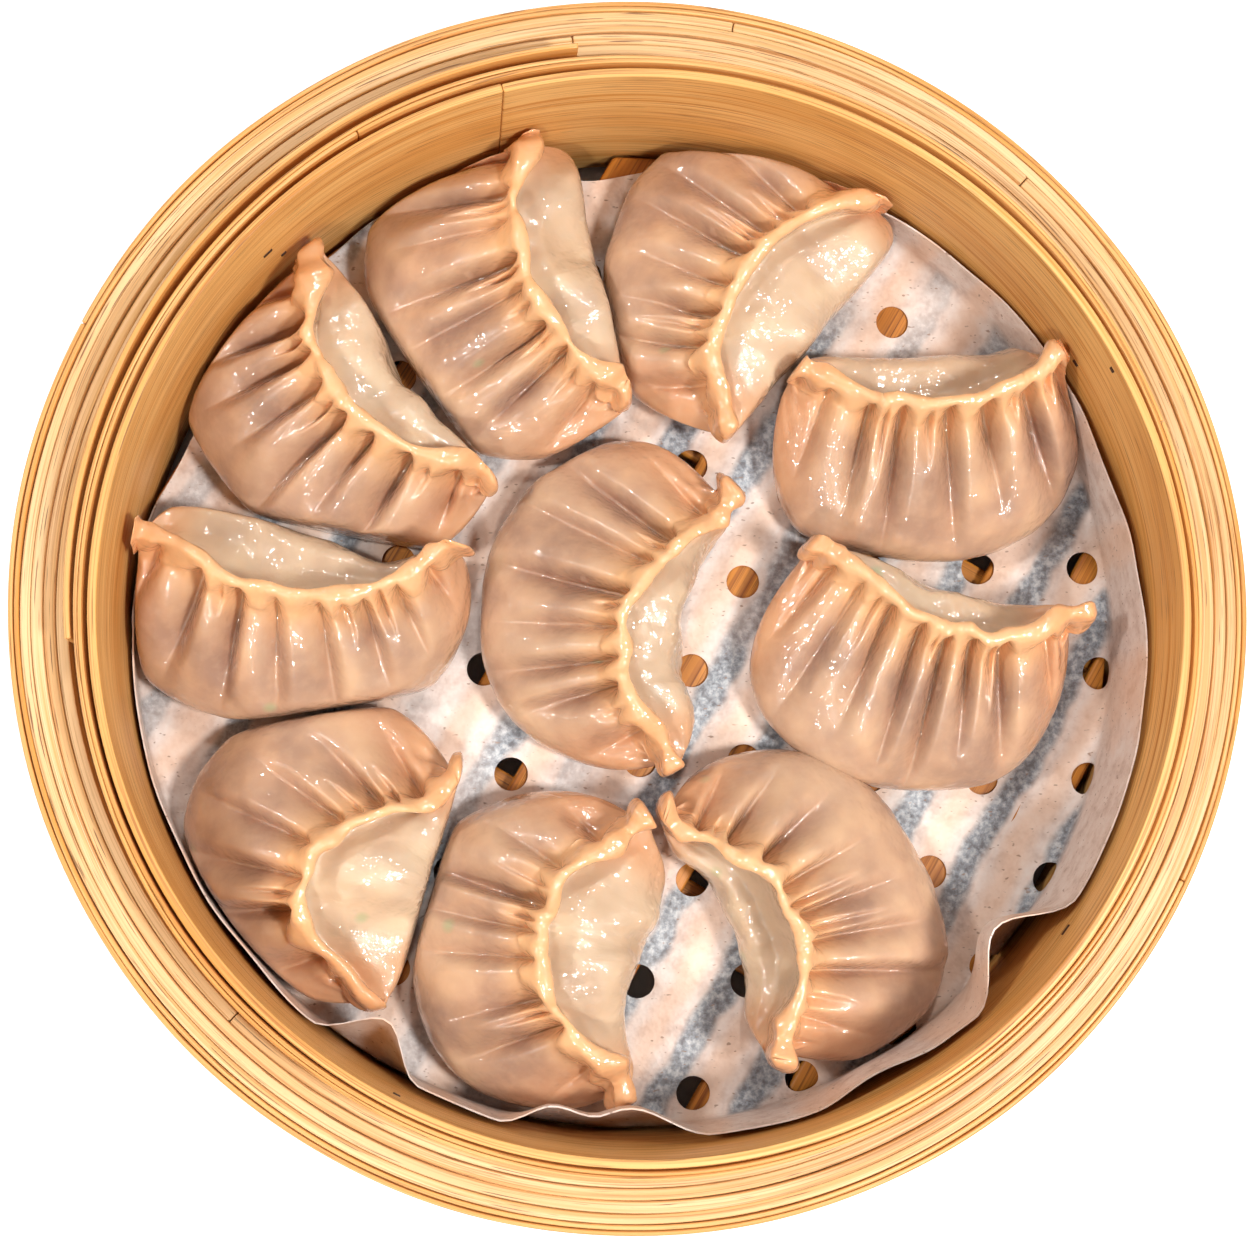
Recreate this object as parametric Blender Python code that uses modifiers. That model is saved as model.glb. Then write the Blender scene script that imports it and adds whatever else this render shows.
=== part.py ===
"""A round bamboo steamer basket with a perforated paper liner and ten pleated crescent dumplings.

The basket stands on the plane z = 0, with the axis of its rim on the z axis. Lengths are in
metres, written as millimetres times MM. +X is to the right and +Y away from the viewer.
"""

import math
import random
from dataclasses import dataclass

import bmesh
import bpy
import numpy as np
from mathutils import Matrix, Vector

MM = 0.001
GAP = 0.3 * MM

# Basket: coiled strips round an inner wall that stands higher than they do
RING_SIDES = 48
BASKET_RADIUS = 125 * MM
HOOP_THICKNESS = 2.1 * MM
UPPER_HOOP = (26 * MM, 49.5 * MM)
LOWER_HOOP = (0.0, 23 * MM)
STRIP_THICKNESS = 2.2 * MM
STRIP_TOPS = (49.8 * MM, 50.3 * MM, 49.6 * MM, 50.0 * MM)
WALL_FOOT = 4 * MM
WALL_TOP = 62 * MM
WALL_RADIUS = 106.3 * MM
WALL_THICKNESS = 1.9 * MM
WALL_CENTRE = Vector((0.7, -2.1, 0)) * MM
MIDDLE_RADIUS = 109.0 * MM
MIDDLE_THICKNESS = 1.8 * MM
MIDDLE_CENTRE = Vector((0.55, -1.65, 0)) * MM
MIDDLE_TOP = 61.4 * MM
TAIL_RADIUS = 111.0 * MM
TAIL_THICKNESS = 1.5 * MM
TAIL_TOP = 60.4 * MM
TAIL_FROM, TAIL_TO = math.radians(96), math.radians(186)
TAIL_STEPS = 12

# Slatted floor
FLOOR_TOP = 14 * MM
SLAT_THICKNESS = 3 * MM
SLAT_WIDTH = 10 * MM
SLAT_PITCH = 16.8 * MM
SLAT_SHIFT = 0.7 * MM
SLATS_EACH_SIDE = 6
OUTER_SLAT_CENTRE = 97 * MM
SLAT_TURN = math.radians(60)
BATTEN_THICKNESS = 5.5 * MM
BATTEN_WIDTH = 12 * MM
BATTEN_OFFSET = 46 * MM
FLOOR_REACH = WALL_RADIUS - 0.7 * MM

# Paper liner
PAPER_THICKNESS = 0.4 * MM
PAPER_BASE = FLOOR_TOP + GAP
PAPER_RADIUS = 123 * MM
PAPER_CENTRE = Vector((11, -13, 0)) * MM
PAPER_SIDES = 44
PAPER_LOOPS = 5
PAPER_LEAST_STEP = 0.6 * MM
PAPER_FILLET = 3 * MM
PAPER_OUTER = WALL_RADIUS - 0.8 * MM
PAPER_BEND = PAPER_OUTER - PAPER_FILLET
HOLES_CENTRE = Vector((14, -11, 0)) * MM
HOLE_RADIUS = 3.6 * MM
HOLE_SIDES = 8
HOLE_RING_STEP = 22.5 * MM
HOLE_RINGS = (6, 12, 18, 24)
PUNCH_LENGTH = 6 * MM
# Where the rim of the paper falls short: azimuth and half width in degrees, depth in millimetres
PAPER_NOTCHES = ((93, 24, 11), (138, 34, 4), (160, 20, 5))
# Where it folds inwards off the wall: azimuth, half width, and how far in its edge leans
PAPER_FOLDS = ((-42, 9, 10), (-63, 8, 2), (-91, 9, 6), (-100, 6, 5), (-122, 7, 9), (16, 14, 1.5))
FOLD_CURVE = 0.8

# Dumplings
DUMPLING_REST = PAPER_BASE + PAPER_THICKNESS + GAP
FLANGE = 4.5 * MM
FLANGE_HALF = 1.1 * MM
PLEAT_DEPTH = 2.3 * MM
BACK_FAN = 0.6
# Corner points of a cross-section: first the tip of the seam, then those of the belly from the
# seam's flange down and under, then those of the back from the base up to the flange. Each lies
# out by a share of the belly's or the back's reach, and up by a share of the body's height.
BELLY_OUT = (0.02, 0.36, 0.74, 0.97, 0.96, 0.74, 0.1)
BELLY_UP = (0.98, 0.88, 0.65, 0.38, 0.15, 0, 0)
BACK_OUT = (0.66, 0.93, 1, 0.8, 0.42, 0.05)
BACK_UP = (0, 0.12, 0.32, 0.56, 0.72, 0.9)
BACK_SINK = (0, 0, 0, 0.06, 0.2, 0.1)
SECTION_POINTS = 1 + len(BELLY_OUT) + len(BACK_OUT)
# How the cross-section shrinks towards the horns, as powers of the way there
BELLY_POWER = 3
BACK_POWER = 2.6
RIDGE_POWER = 2.2
HORN_POWER = 14
HORN_FROM = 0.78
HORN_FOOT = 9 * MM
HORN_MIDDLE = 0.55
HORN_SLIM = 0.35
# Positions on the section, counted in corner points, where the pleats begin, are whole, and fade
PLEATS_BEGIN, PLEATS_WHOLE = 0.4, 1.2
PLEATS_FADE, PLEATS_END = 2.6, 4.8
RIDGE_SHARE = 0.25
CREASE_POWER = 0.7
PARTING_SOFTNESS = 2.5 * MM
PARTING_REACH = 85 * MM
PARTING_ANGLES = 90
WALL_CLEARANCE = 0.6 * MM
PAPER_CLEARANCE = 0.8 * MM
PAPER_ROOM = 1.3 * MM


@dataclass(frozen=True)
class Dumpling:
    """A crescent dumpling. Lengths are in millimetres and angles in degrees.

    x, y: middle of the line between its two horns. heading: the way its pleated belly faces.
    half: half the distance between the horns. bow: how far the seam bows towards the belly.
    front, back: how far belly and back reach out from the seam. skew, lean: how much more they
    reach on the second horn's side. curl: how sharply each end of the seam turns up, 2 is round.
    fan: how far the ends of the crescent splay. horns: how high its two tips stand.
    hollow: how deep the back sinks behind the seam.
    """

    name: str
    x: float
    y: float
    heading: float
    half: float
    bow: float
    front: float
    back: float
    skew: float
    lean: float
    curl: tuple
    fan: float
    tall: float
    horns: tuple
    hollow: float
    pleats: int


DUMPLINGS = (
    Dumpling(
        "upper_left", x=-9.7, y=75.1, heading=-157, half=30.4, bow=16.2, front=29.4, back=19.0, skew=-0.09,
        lean=-0.36, curl=(2.1, 3.5), fan=32, tall=28, horns=(19, 17), hollow=0.1, pleats=9),
    Dumpling(
        "top", x=39.4, y=64.0, heading=149, half=30.6, bow=19.2, front=28.6, back=22.0, skew=-0.25,
        lean=0.0, curl=(1.8, 5.0), fan=33, tall=28, horns=(20, 17), hollow=0.0, pleats=9),
    Dumpling(
        "right_upper", x=63.8, y=57.2, heading=-85, half=29.5, bow=15.7, front=29.1, back=14.8, skew=-0.09,
        lean=-0.1, curl=(3.1, 2.6), fan=30, tall=29, horns=(20, 30), hollow=0.9, pleats=8),
    Dumpling(
        "left_upper", x=-46.7, y=52.6, heading=-141, half=29.5, bow=19.0, front=27.3, back=15.0, skew=-0.13,
        lean=-0.6, curl=(2.8, 2.3), fan=34, tall=27, horns=(20, 18), hollow=0.3, pleats=9),
    Dumpling(
        "left", x=-70.3, y=17.0, heading=-88, half=32.0, bow=17.2, front=23.6, back=17.0, skew=-0.18,
        lean=-0.6, curl=(1.6, 4.6), fan=39, tall=28, horns=(24, 25), hollow=0.9, pleats=9),
    Dumpling(
        "centre", x=15.8, y=-3.8, heading=169, half=26.8, bow=19.8, front=28.1, back=13.5, skew=-0.3,
        lean=0.6, curl=(1.6, 3.8), fan=46, tall=28, horns=(18, 16), hollow=0.3, pleats=9),
    Dumpling(
        "right_lower", x=65.4, y=8.6, heading=-103, half=27.7, bow=14.5, front=31.5, back=12.3, skew=-0.19,
        lean=-0.09, curl=(1.6, 3.8), fan=31, tall=29, horns=(20, 26), hollow=0.8, pleats=9),
    Dumpling(
        "lower_left", x=-42.6, y=-59.0, heading=160, half=22.6, bow=25.5, front=27.6, back=24.0, skew=-0.3,
        lean=0.5, curl=(1.7, 4.6), fan=46, tall=27, horns=(17, 16), hollow=0.1, pleats=8),
    Dumpling(
        "bottom", x=2.0, y=-71.6, heading=175, half=26.0, bow=23.2, front=24.2, back=21.5, skew=0.07,
        lean=-0.5, curl=(3.6, 2.3), fan=47, tall=28, horns=(19, 16), hollow=0.1, pleats=9),
    Dumpling(
        "lower_right", x=16.0, y=-67.4, heading=24, half=24.9, bow=17.3, front=30.3, back=10.8, skew=-0.2,
        lean=-0.28, curl=(3.6, 2.2), fan=48, tall=28, horns=(23, 20), hollow=0.9, pleats=9),
)

BAMBOO_PALE = (0.74, 0.53, 0.27, 1)
BAMBOO_WALL = (0.62, 0.36, 0.13, 1)
BAMBOO_SLAT = (0.45, 0.20, 0.05, 1)
PAPER_WHITE = (0.80, 0.72, 0.68, 1)
DOUGH = (0.72, 0.47, 0.31, 1)


def clear_scene():
    for item in list(bpy.data.objects):
        bpy.data.objects.remove(item, do_unlink=True)


def new_collection(name):
    made = bpy.data.collections.new(name)
    bpy.context.scene.collection.children.link(made)
    return made


def new_material(name, colour, roughness):
    made = bpy.data.materials.new(name)
    made.use_nodes = True
    shader = made.node_tree.nodes["Principled BSDF"]
    shader.inputs["Base Color"].default_value = colour
    shader.inputs["Roughness"].default_value = roughness
    shader.inputs["Metallic"].default_value = 0.0
    return made


def new_object(name, mesh, colour, roughness, collection):
    made = bpy.data.objects.new(name, mesh)
    mesh.materials.clear()
    mesh.materials.append(new_material(name, colour, roughness))
    collection.objects.link(made)
    return made


def mesh_from(build, name):
    mesh = bpy.data.meshes.new(name)
    build.to_mesh(mesh)
    build.free()
    return mesh


def ease(share):
    share = np.clip(share, 0, 1)
    return share * share * (3 - 2 * share)


def ring(name, inner, thickness, foot, top, centre, colour, collection):
    """A hoop of flat strip: its cross-section, outer side first and top to bottom, turned about z."""
    outer = inner + thickness
    build = bmesh.new()
    corners = [build.verts.new(place) for place in (
        (outer, 0, top), (outer, 0, foot), (inner, 0, foot), (inner, 0, top))]
    for start, end in zip(corners, corners[1:] + corners[:1]):
        build.edges.new((start, end))
    made = new_object(name, mesh_from(build, name), colour, 0.55, collection)
    made.location = centre
    screw = made.modifiers.new("Turn", "SCREW")
    screw.steps = screw.render_steps = RING_SIDES
    screw.use_merge_vertices = True
    screw.merge_threshold = 0.00001
    return made


def band_tail(collection):
    """The loose last lap of the inner band: the same cross-section swept part of the way round."""
    outer = TAIL_RADIUS + TAIL_THICKNESS
    build = bmesh.new()
    corners = [build.verts.new(place) for place in (
        (outer, 0, TAIL_TOP), (outer, 0, WALL_FOOT),
        (TAIL_RADIUS, 0, WALL_FOOT), (TAIL_RADIUS, 0, TAIL_TOP))]
    section = build.faces.new(corners)
    bmesh.ops.rotate(build, verts=corners, cent=(0, 0, 0), matrix=Matrix.Rotation(TAIL_FROM, 3, "Z"))
    bmesh.ops.spin(
        build, geom=[section, *section.edges, *corners], cent=(0, 0, 0), axis=(0, 0, 1),
        angle=TAIL_TO - TAIL_FROM, steps=TAIL_STEPS, use_duplicate=False)
    bmesh.ops.recalc_face_normals(build, faces=build.faces)
    return new_object("band_tail", mesh_from(build, "band_tail"), BAMBOO_PALE, 0.55, collection)


def add_basket(collection):
    ring(
        "inner_wall", WALL_RADIUS, WALL_THICKNESS, WALL_FOOT, WALL_TOP, WALL_CENTRE, BAMBOO_WALL,
        collection)
    ring(
        "middle_band", MIDDLE_RADIUS, MIDDLE_THICKNESS, WALL_FOOT, MIDDLE_TOP, MIDDLE_CENTRE,
        BAMBOO_PALE, collection)
    band_tail(collection)
    axis = Vector((0, 0, 0))
    inner = BASKET_RADIUS - HOOP_THICKNESS
    for name, (foot, top) in (("upper_hoop", UPPER_HOOP), ("lower_hoop", LOWER_HOOP)):
        ring(name, inner, HOOP_THICKNESS, foot, top, axis, BAMBOO_PALE, collection)
    for number, top in enumerate(STRIP_TOPS, 1):
        inner -= STRIP_THICKNESS + GAP
        ring(f"rim_strip_{number}", inner, STRIP_THICKNESS, 0.0, top, axis, BAMBOO_PALE, collection)


def bar(name, centre, width, foot, top, turn, colour, collection):
    """A flat bamboo bar across the floor, its ends cut to follow the round wall."""
    build = bmesh.new()
    bmesh.ops.create_cube(build, size=2)
    for corner in build.verts:
        side = centre + corner.co.y * width / 2
        corner.co = (
            corner.co.x * math.sqrt(FLOOR_REACH**2 - side**2), side, top if corner.co.z > 0 else foot)
    bmesh.ops.rotate(build, verts=build.verts, cent=(0, 0, 0), matrix=Matrix.Rotation(turn, 3, "Z"))
    bmesh.ops.recalc_face_normals(build, faces=build.faces)
    made = new_object(name, mesh_from(build, name), colour, 0.6, collection)
    made.location = WALL_CENTRE
    return made


def add_floor(collection):
    slat_foot = FLOOR_TOP - SLAT_THICKNESS
    for number in range(-SLATS_EACH_SIDE, SLATS_EACH_SIDE + 1):
        centre = number * SLAT_PITCH + SLAT_SHIFT
        centre = max(-OUTER_SLAT_CENTRE, min(OUTER_SLAT_CENTRE, centre))
        name = f"slat_{number + SLATS_EACH_SIDE + 1:02d}"
        bar(name, centre, SLAT_WIDTH, slat_foot, FLOOR_TOP, SLAT_TURN, BAMBOO_SLAT, collection)
    batten_top = slat_foot - GAP
    for number, centre in enumerate((-BATTEN_OFFSET, BATTEN_OFFSET), 1):
        bar(f"batten_{number}", centre, BATTEN_WIDTH, batten_top - BATTEN_THICKNESS, batten_top,
            SLAT_TURN + math.pi / 2, BAMBOO_SLAT, collection)


def bump(azimuth, middle, half_width):
    """A smooth hump of height 1 round an azimuth in degrees, and 0 past its half width."""
    away = np.abs((azimuth - middle + 180) % 360 - 180) / half_width
    return (1 + np.cos(math.pi * np.minimum(away, 1))) / 2


def azimuth_of(place):
    return math.degrees(math.atan2(place.y, place.x))


def lift_paper(place):
    """Where a point of the flat sheet lies once its edge has bent up the wall and folded inwards."""
    across = Vector((place.x, place.y, 0)) - WALL_CENTRE
    climb = across.length - PAPER_BEND
    if climb <= 0:
        return Vector((place.x, place.y, PAPER_BASE + place.z))
    angle = min(climb / PAPER_FILLET, math.pi / 2)
    above = max(0.0, climb - PAPER_FILLET * math.pi / 2)
    radius = PAPER_BEND + (PAPER_FILLET - place.z) * math.sin(angle)
    height = PAPER_BASE + PAPER_FILLET - (PAPER_FILLET - place.z) * math.cos(angle) + above
    azimuth = azimuth_of(across)
    lean = sum(depth * MM * bump(azimuth, middle, half) for middle, half, depth in PAPER_FOLDS)
    full_height = PAPER_RADIUS - PAPER_BEND
    radius -= lean * min(above / full_height, 1) ** FOLD_CURVE
    return WALL_CENTRE + across.normalized() * radius + Vector((0, 0, height))


def paper_reach(azimuth):
    """How far the flat sheet reaches from the middle of the wall in the direction of an azimuth."""
    offset = np.array((PAPER_CENTRE - WALL_CENTRE)[:2])
    along = offset[0] * np.cos(np.radians(azimuth)) + offset[1] * np.sin(np.radians(azimuth))
    short = sum(depth * MM * bump(azimuth, middle, half) for middle, half, depth in PAPER_NOTCHES)
    return along + np.sqrt(PAPER_RADIUS**2 - offset @ offset + along**2) - short


def paper_loops(azimuth):
    """Distances from the middle of the wall at which the sheet has its edge loops, rim last."""
    rim = paper_reach(azimuth)
    quarter = PAPER_FILLET * math.pi / 2
    upright = PAPER_BEND + quarter
    loops = (PAPER_BEND, PAPER_BEND + quarter / 2, upright, (upright + rim) / 2, rim)
    return [min(loop, rim - step * PAPER_LEAST_STEP) for step, loop in enumerate(reversed(loops))][::-1]


def flat_paper():
    """The sheet before it is folded: a disc with edge loops where it will bend, and an uneven rim."""
    build = bmesh.new()
    bmesh.ops.create_circle(build, cap_ends=True, segments=PAPER_SIDES, radius=PAPER_BEND)
    for number in range(PAPER_LOOPS):
        if number:
            rim = [edge for edge in build.edges if edge.is_boundary]
            bmesh.ops.extrude_edge_only(build, edges=rim)
        for corner in build.verts:
            if corner.is_boundary:
                corner.co = corner.co.normalized() * paper_loops(azimuth_of(corner.co))[number]
    bmesh.ops.translate(build, verts=build.verts, vec=WALL_CENTRE)
    bmesh.ops.recalc_face_normals(build, faces=build.faces)
    return mesh_from(build, "paper_liner")


def hole_punch(collection):
    """One cutter of all the round holes: a middle one and four rings about it."""
    build = bmesh.new()
    places = [HOLES_CENTRE]
    for ring_number, count in enumerate(HOLE_RINGS, 1):
        reach = Vector((HOLE_RING_STEP * ring_number, 0, 0))
        for step in range(count):
            places.append(HOLES_CENTRE + Matrix.Rotation(math.tau * step / count, 3, "Z") @ reach)
    for place in places:
        bmesh.ops.create_cone(
            build, cap_ends=True, segments=HOLE_SIDES, radius1=HOLE_RADIUS, radius2=HOLE_RADIUS,
            depth=PUNCH_LENGTH, matrix=Matrix.Translation(place))
    punch = bpy.data.objects.new("hole_punch", mesh_from(build, "hole_punch"))
    punch.hide_render = True
    punch.display_type = "WIRE"
    collection.objects.link(punch)
    return punch


def add_liner(collection, cutters):
    sheet = new_object("paper_liner", flat_paper(), PAPER_WHITE, 0.5, collection)
    shell = sheet.modifiers.new("Thickness", "SOLIDIFY")
    shell.thickness = PAPER_THICKNESS
    shell.offset = 0
    punched = sheet.modifiers.new("Holes", "BOOLEAN")
    punched.operation = "DIFFERENCE"
    punched.object = hole_punch(cutters)
    bpy.context.view_layer.update()
    solid = bpy.data.meshes.new_from_object(sheet.evaluated_get(bpy.context.evaluated_depsgraph_get()))
    sheet.modifiers.clear()
    sheet.data = solid
    for corner in solid.vertices:
        corner.co = lift_paper(corner.co + Vector((0, 0, PAPER_THICKNESS / 2)))


def pleat_widths(dumpling):
    """Shares along the seam, from -1 to 1, where the creases between the uneven pleats start."""
    draw = random.Random(dumpling.name)
    widths = [0.8] + [draw.uniform(0.75, 1.25) for _ in range(dumpling.pleats - 2)] + [0.8]
    marks = np.concatenate([[0], np.cumsum(widths)])
    return marks / marks[-1] * 2 - 1


def crease(dumpling, phase):
    """How deep the nearest crease is, 0 on a ridge and 1 at the bottom of the deepest one."""
    draw = random.Random(dumpling.name + " creases")
    depths = np.array([draw.uniform(0.7, 1.1) for _ in range(dumpling.pleats)])
    nearest = np.clip(np.round(phase), 1, dumpling.pleats - 1).astype(int)
    away = np.minimum(np.abs(phase - nearest), 0.5)
    return depths[nearest] * (1 - np.sin(math.pi * away) ** CREASE_POWER)


def section(dumpling, share):
    """Corner points of the cross-section at shares of the way from the middle to a horn (-1 to 1).

    Returns how far out each lies from the seam, and how high, from the tip of the seam down the
    belly, under the base and up the back.
    """
    near_horn = np.abs(share)
    swell = np.sqrt(np.clip(1 - near_horn**BELLY_POWER, 0, 1))
    front = dumpling.front * MM * swell * (1 + dumpling.skew * share) + FLANGE_HALF / 2
    taper = np.clip(1 - near_horn**BACK_POWER, 0, 1) ** 0.8
    back = np.maximum(dumpling.back * MM * taper * (1 + dumpling.lean * share), 0) + FLANGE_HALF / 2
    horn = np.where(share < 0, dumpling.horns[0], dumpling.horns[1]) * MM
    top = dumpling.tall * MM - (dumpling.tall * MM - horn) * near_horn**RIDGE_POWER
    rise = ease((near_horn - HORN_FROM) / (1 - HORN_FROM))
    foot = HORN_FOOT * rise
    body = (top - FLANGE - foot) * (1 - HORN_SLIM * rise)
    out = [0 * front, *(part * front for part in BELLY_OUT), *(-part * back for part in BACK_OUT)]
    out[1] += FLANGE_HALF
    out[-1] -= FLANGE_HALF
    heights = [*BELLY_UP, *(up - dumpling.hollow * sink for up, sink in zip(BACK_UP, BACK_SINK))]
    up = np.stack([top, *(foot + part * body for part in heights)])
    close = np.sqrt(np.clip(1 - near_horn**HORN_POWER, 0, 1))
    middle = foot + (top - foot) * HORN_MIDDLE
    return np.stack(out) * close, middle + (up - middle) * close


def smooth_loop(points, position):
    """A closed smooth curve through the corner points, read at positions counted in points."""
    start = np.floor(position).astype(int)
    part = position - start
    column = np.arange(points.shape[1])
    before, here, after, beyond = (
        points[(start + step) % SECTION_POINTS, column] for step in (-1, 0, 1, 2))
    return here + 0.5 * part * (
        after - before + part * (
            2 * before - 5 * here + 4 * after - beyond + part * (3 * (here - after) + beyond - before)))


def skin(dumpling, along, around):
    """Places on the dough, for shares along the seam and round the section, both from 0 to 1."""
    phase = along * dumpling.pleats
    share = np.interp(phase, np.arange(dumpling.pleats + 1), pleat_widths(dumpling))
    out_points, up_points = section(dumpling, share)
    position = around * SECTION_POINTS
    out = smooth_loop(out_points, position)
    up = smooth_loop(up_points, position)
    step = 0.02
    slope_out = smooth_loop(out_points, position + step) - smooth_loop(out_points, position - step)
    slope_up = smooth_loop(up_points, position + step) - smooth_loop(up_points, position - step)
    length = np.hypot(slope_out, slope_up) + 1e-9
    pleated = ease((position - PLEATS_BEGIN) / (PLEATS_WHOLE - PLEATS_BEGIN))
    pleated *= 1 - ease((position - PLEATS_FADE) / (PLEATS_END - PLEATS_FADE))
    inward = PLEAT_DEPTH * pleated * (crease(dumpling, phase) - RIDGE_SHARE) * (1 - np.abs(share) ** 6)
    out = out + inward * slope_up / length
    up = np.maximum(up - inward * slope_out / length, 0)

    fan = math.radians(dumpling.fan)
    turn = share * fan
    across = np.sin(turn) / math.sin(fan)
    curl = np.where(share < 0, dumpling.curl[0], dumpling.curl[1])
    turn = np.where(out < 0, BACK_FAN, 1) * turn
    side = dumpling.half * MM * across + np.sin(turn) * out
    ahead = dumpling.bow * MM * (1 - np.abs(across) ** curl) + np.cos(turn) * out
    heading = math.radians(dumpling.heading)
    return np.stack([
        dumpling.x * MM - math.sin(heading) * side + math.cos(heading) * ahead,
        dumpling.y * MM + math.cos(heading) * side + math.sin(heading) * ahead,
        DUMPLING_REST + up], axis=-1)


def ball_shares(build, around_steps, along_steps):
    """For the vertices of a ball with its poles at the horns: their shares along and around."""
    along, around = [], []
    for corner in build.verts:
        away = corner.co.normalized()
        along.append(round(math.acos(max(-1, min(1, away.z))) / math.pi * along_steps) / along_steps)
        turn = -math.atan2(away.y, away.x) / math.tau
        around.append(round(turn * around_steps) / around_steps % 1)
    return np.array(along), np.array(around)


def dumpling_ball(around_steps, along_steps):
    build = bmesh.new()
    bmesh.ops.create_uvsphere(build, u_segments=around_steps, v_segments=along_steps, radius=1)
    return build


def plain_places(dumpling):
    """The dumpling's own points before its neighbours press on it."""
    build = dumpling_ball(SECTION_POINTS, 2 * dumpling.pleats)
    places = skin(dumpling, *ball_shares(build, SECTION_POINTS, 2 * dumpling.pleats))
    build.free()
    return places


def parting_planes():
    """For each dumpling, the upright planes that part it from its neighbours.

    Of all directions the plane takes the one along which the two overlap least, and lies half
    way between them. Each plane is a direction out of the dumpling and how far out it lies.
    """
    places = {dumpling.name: plain_places(dumpling)[:, :2] for dumpling in DUMPLINGS}
    planes = {dumpling.name: [] for dumpling in DUMPLINGS}
    turns = np.arange(PARTING_ANGLES) * math.tau / PARTING_ANGLES
    directions = np.stack([np.cos(turns), np.sin(turns)], axis=-1)
    for number, first in enumerate(DUMPLINGS):
        for second in DUMPLINGS[number + 1:]:
            if math.hypot(first.x - second.x, first.y - second.y) * MM > PARTING_REACH:
                continue
            reach = (places[first.name] @ directions.T).max(axis=0)
            start = (places[second.name] @ directions.T).min(axis=0)
            best = int(np.argmin(reach - start))
            offset = (reach[best] + start[best]) / 2
            planes[first.name].append((directions[best], offset))
            planes[second.name].append((-directions[best], -offset))
    return planes


def press_back(distance):
    """Moves what would pass a surface to just short of it, and eases what comes near."""
    room = PARTING_SOFTNESS - GAP / 2
    eased = -GAP / 2 - room * np.exp(-(distance + PARTING_SOFTNESS) / room)
    return np.where(distance > -PARTING_SOFTNESS, eased, distance)


def settle(places, planes):
    """Presses a dumpling against its neighbours and the wall, as they steam side by side."""
    for direction, offset in planes:
        distance = places[:, :2] @ direction - offset
        places[:, :2] += (press_back(distance) - distance)[:, None] * direction
    across = places[:, :2] - np.array(WALL_CENTRE[:2])
    radius = np.hypot(*across.T)
    azimuth = np.degrees(np.arctan2(across[:, 1], across[:, 0]))
    papered = ease((paper_reach(azimuth) - PAPER_BEND) / (2 * MM))
    below = np.clip(PAPER_BASE + PAPER_FILLET + PAPER_CLEARANCE - places[:, 2], 0, PAPER_FILLET)
    corner = PAPER_FILLET - np.sqrt(PAPER_FILLET**2 - below**2)
    limit = WALL_RADIUS - WALL_CLEARANCE - papered * (PAPER_ROOM + corner)
    pressed = limit + press_back(radius - limit)
    places[:, :2] += across * (pressed / radius - 1)[:, None]
    return places


def add_dumplings(collection):
    planes = parting_planes()
    for dumpling in DUMPLINGS:
        along_steps = 2 * dumpling.pleats
        build = dumpling_ball(SECTION_POINTS, along_steps)
        places = skin(dumpling, *ball_shares(build, SECTION_POINTS, along_steps))
        for corner, place in zip(build.verts, settle(places, planes[dumpling.name])):
            corner.co = place
        name = f"dumpling_{dumpling.name}"
        made = new_object(name, mesh_from(build, name), DOUGH, 0.35, collection)
        made.data.shade_smooth()


def main():
    clear_scene()
    steamer = new_collection("dumpling_steamer")
    cutters = new_collection("cutters")
    add_basket(steamer)
    add_floor(steamer)
    add_liner(steamer, cutters)
    add_dumplings(steamer)


main()
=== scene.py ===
"""A bamboo steamer basket of pleated crescent dumplings on a perforated paper liner.

Lengths are in metres, written as millimetres times MM. The basket stands on z = 0, +X is to the
right and +Y away from the viewer. Each piece stands for the solid of the same place.
"""

import math
import random
from dataclasses import dataclass

import bmesh
import bpy
import numpy as np
from mathutils import Matrix, Vector, noise


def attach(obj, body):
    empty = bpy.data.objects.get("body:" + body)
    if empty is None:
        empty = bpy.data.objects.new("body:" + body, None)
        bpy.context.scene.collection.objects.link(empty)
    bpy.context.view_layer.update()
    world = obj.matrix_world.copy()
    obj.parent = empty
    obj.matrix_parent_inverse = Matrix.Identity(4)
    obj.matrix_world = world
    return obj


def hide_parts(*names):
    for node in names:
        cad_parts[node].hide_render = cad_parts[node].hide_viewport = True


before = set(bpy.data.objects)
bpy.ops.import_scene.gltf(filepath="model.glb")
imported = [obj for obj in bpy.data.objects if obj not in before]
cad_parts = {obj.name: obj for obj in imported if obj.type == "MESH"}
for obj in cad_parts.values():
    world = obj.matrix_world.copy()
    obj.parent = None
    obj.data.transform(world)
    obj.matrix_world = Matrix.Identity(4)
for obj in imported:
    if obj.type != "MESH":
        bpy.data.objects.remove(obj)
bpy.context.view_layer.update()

MM = 0.001
GAP = 0.3 * MM

# Basket
WALL_CENTRE = Vector((0.7, -2.1, 0)) * MM
MIDDLE_CENTRE = Vector((0.55, -1.65, 0)) * MM
WALL_RADIUS = 106.3 * MM
EDGE_ROUNDING = 0.35 * MM
STRIP_STEP = 2.6 * MM
STRIP_WOBBLE = 0.16 * MM
TOP_WOBBLE = 0.22 * MM

# Holes for the pegs in the wall, whose shade is painted as small dark boxes: azimuth in degrees, height and
# width in millimetres
PEG_HOLE_SHADES = (
    (136.2, 43, 2.4), (134.3, 34, 1.4), (-117.1, 53, 1.6), (-36.8, 48, 2.6), (30.6, 42, 1.6), (27.5, 58, 1.3))

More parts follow.
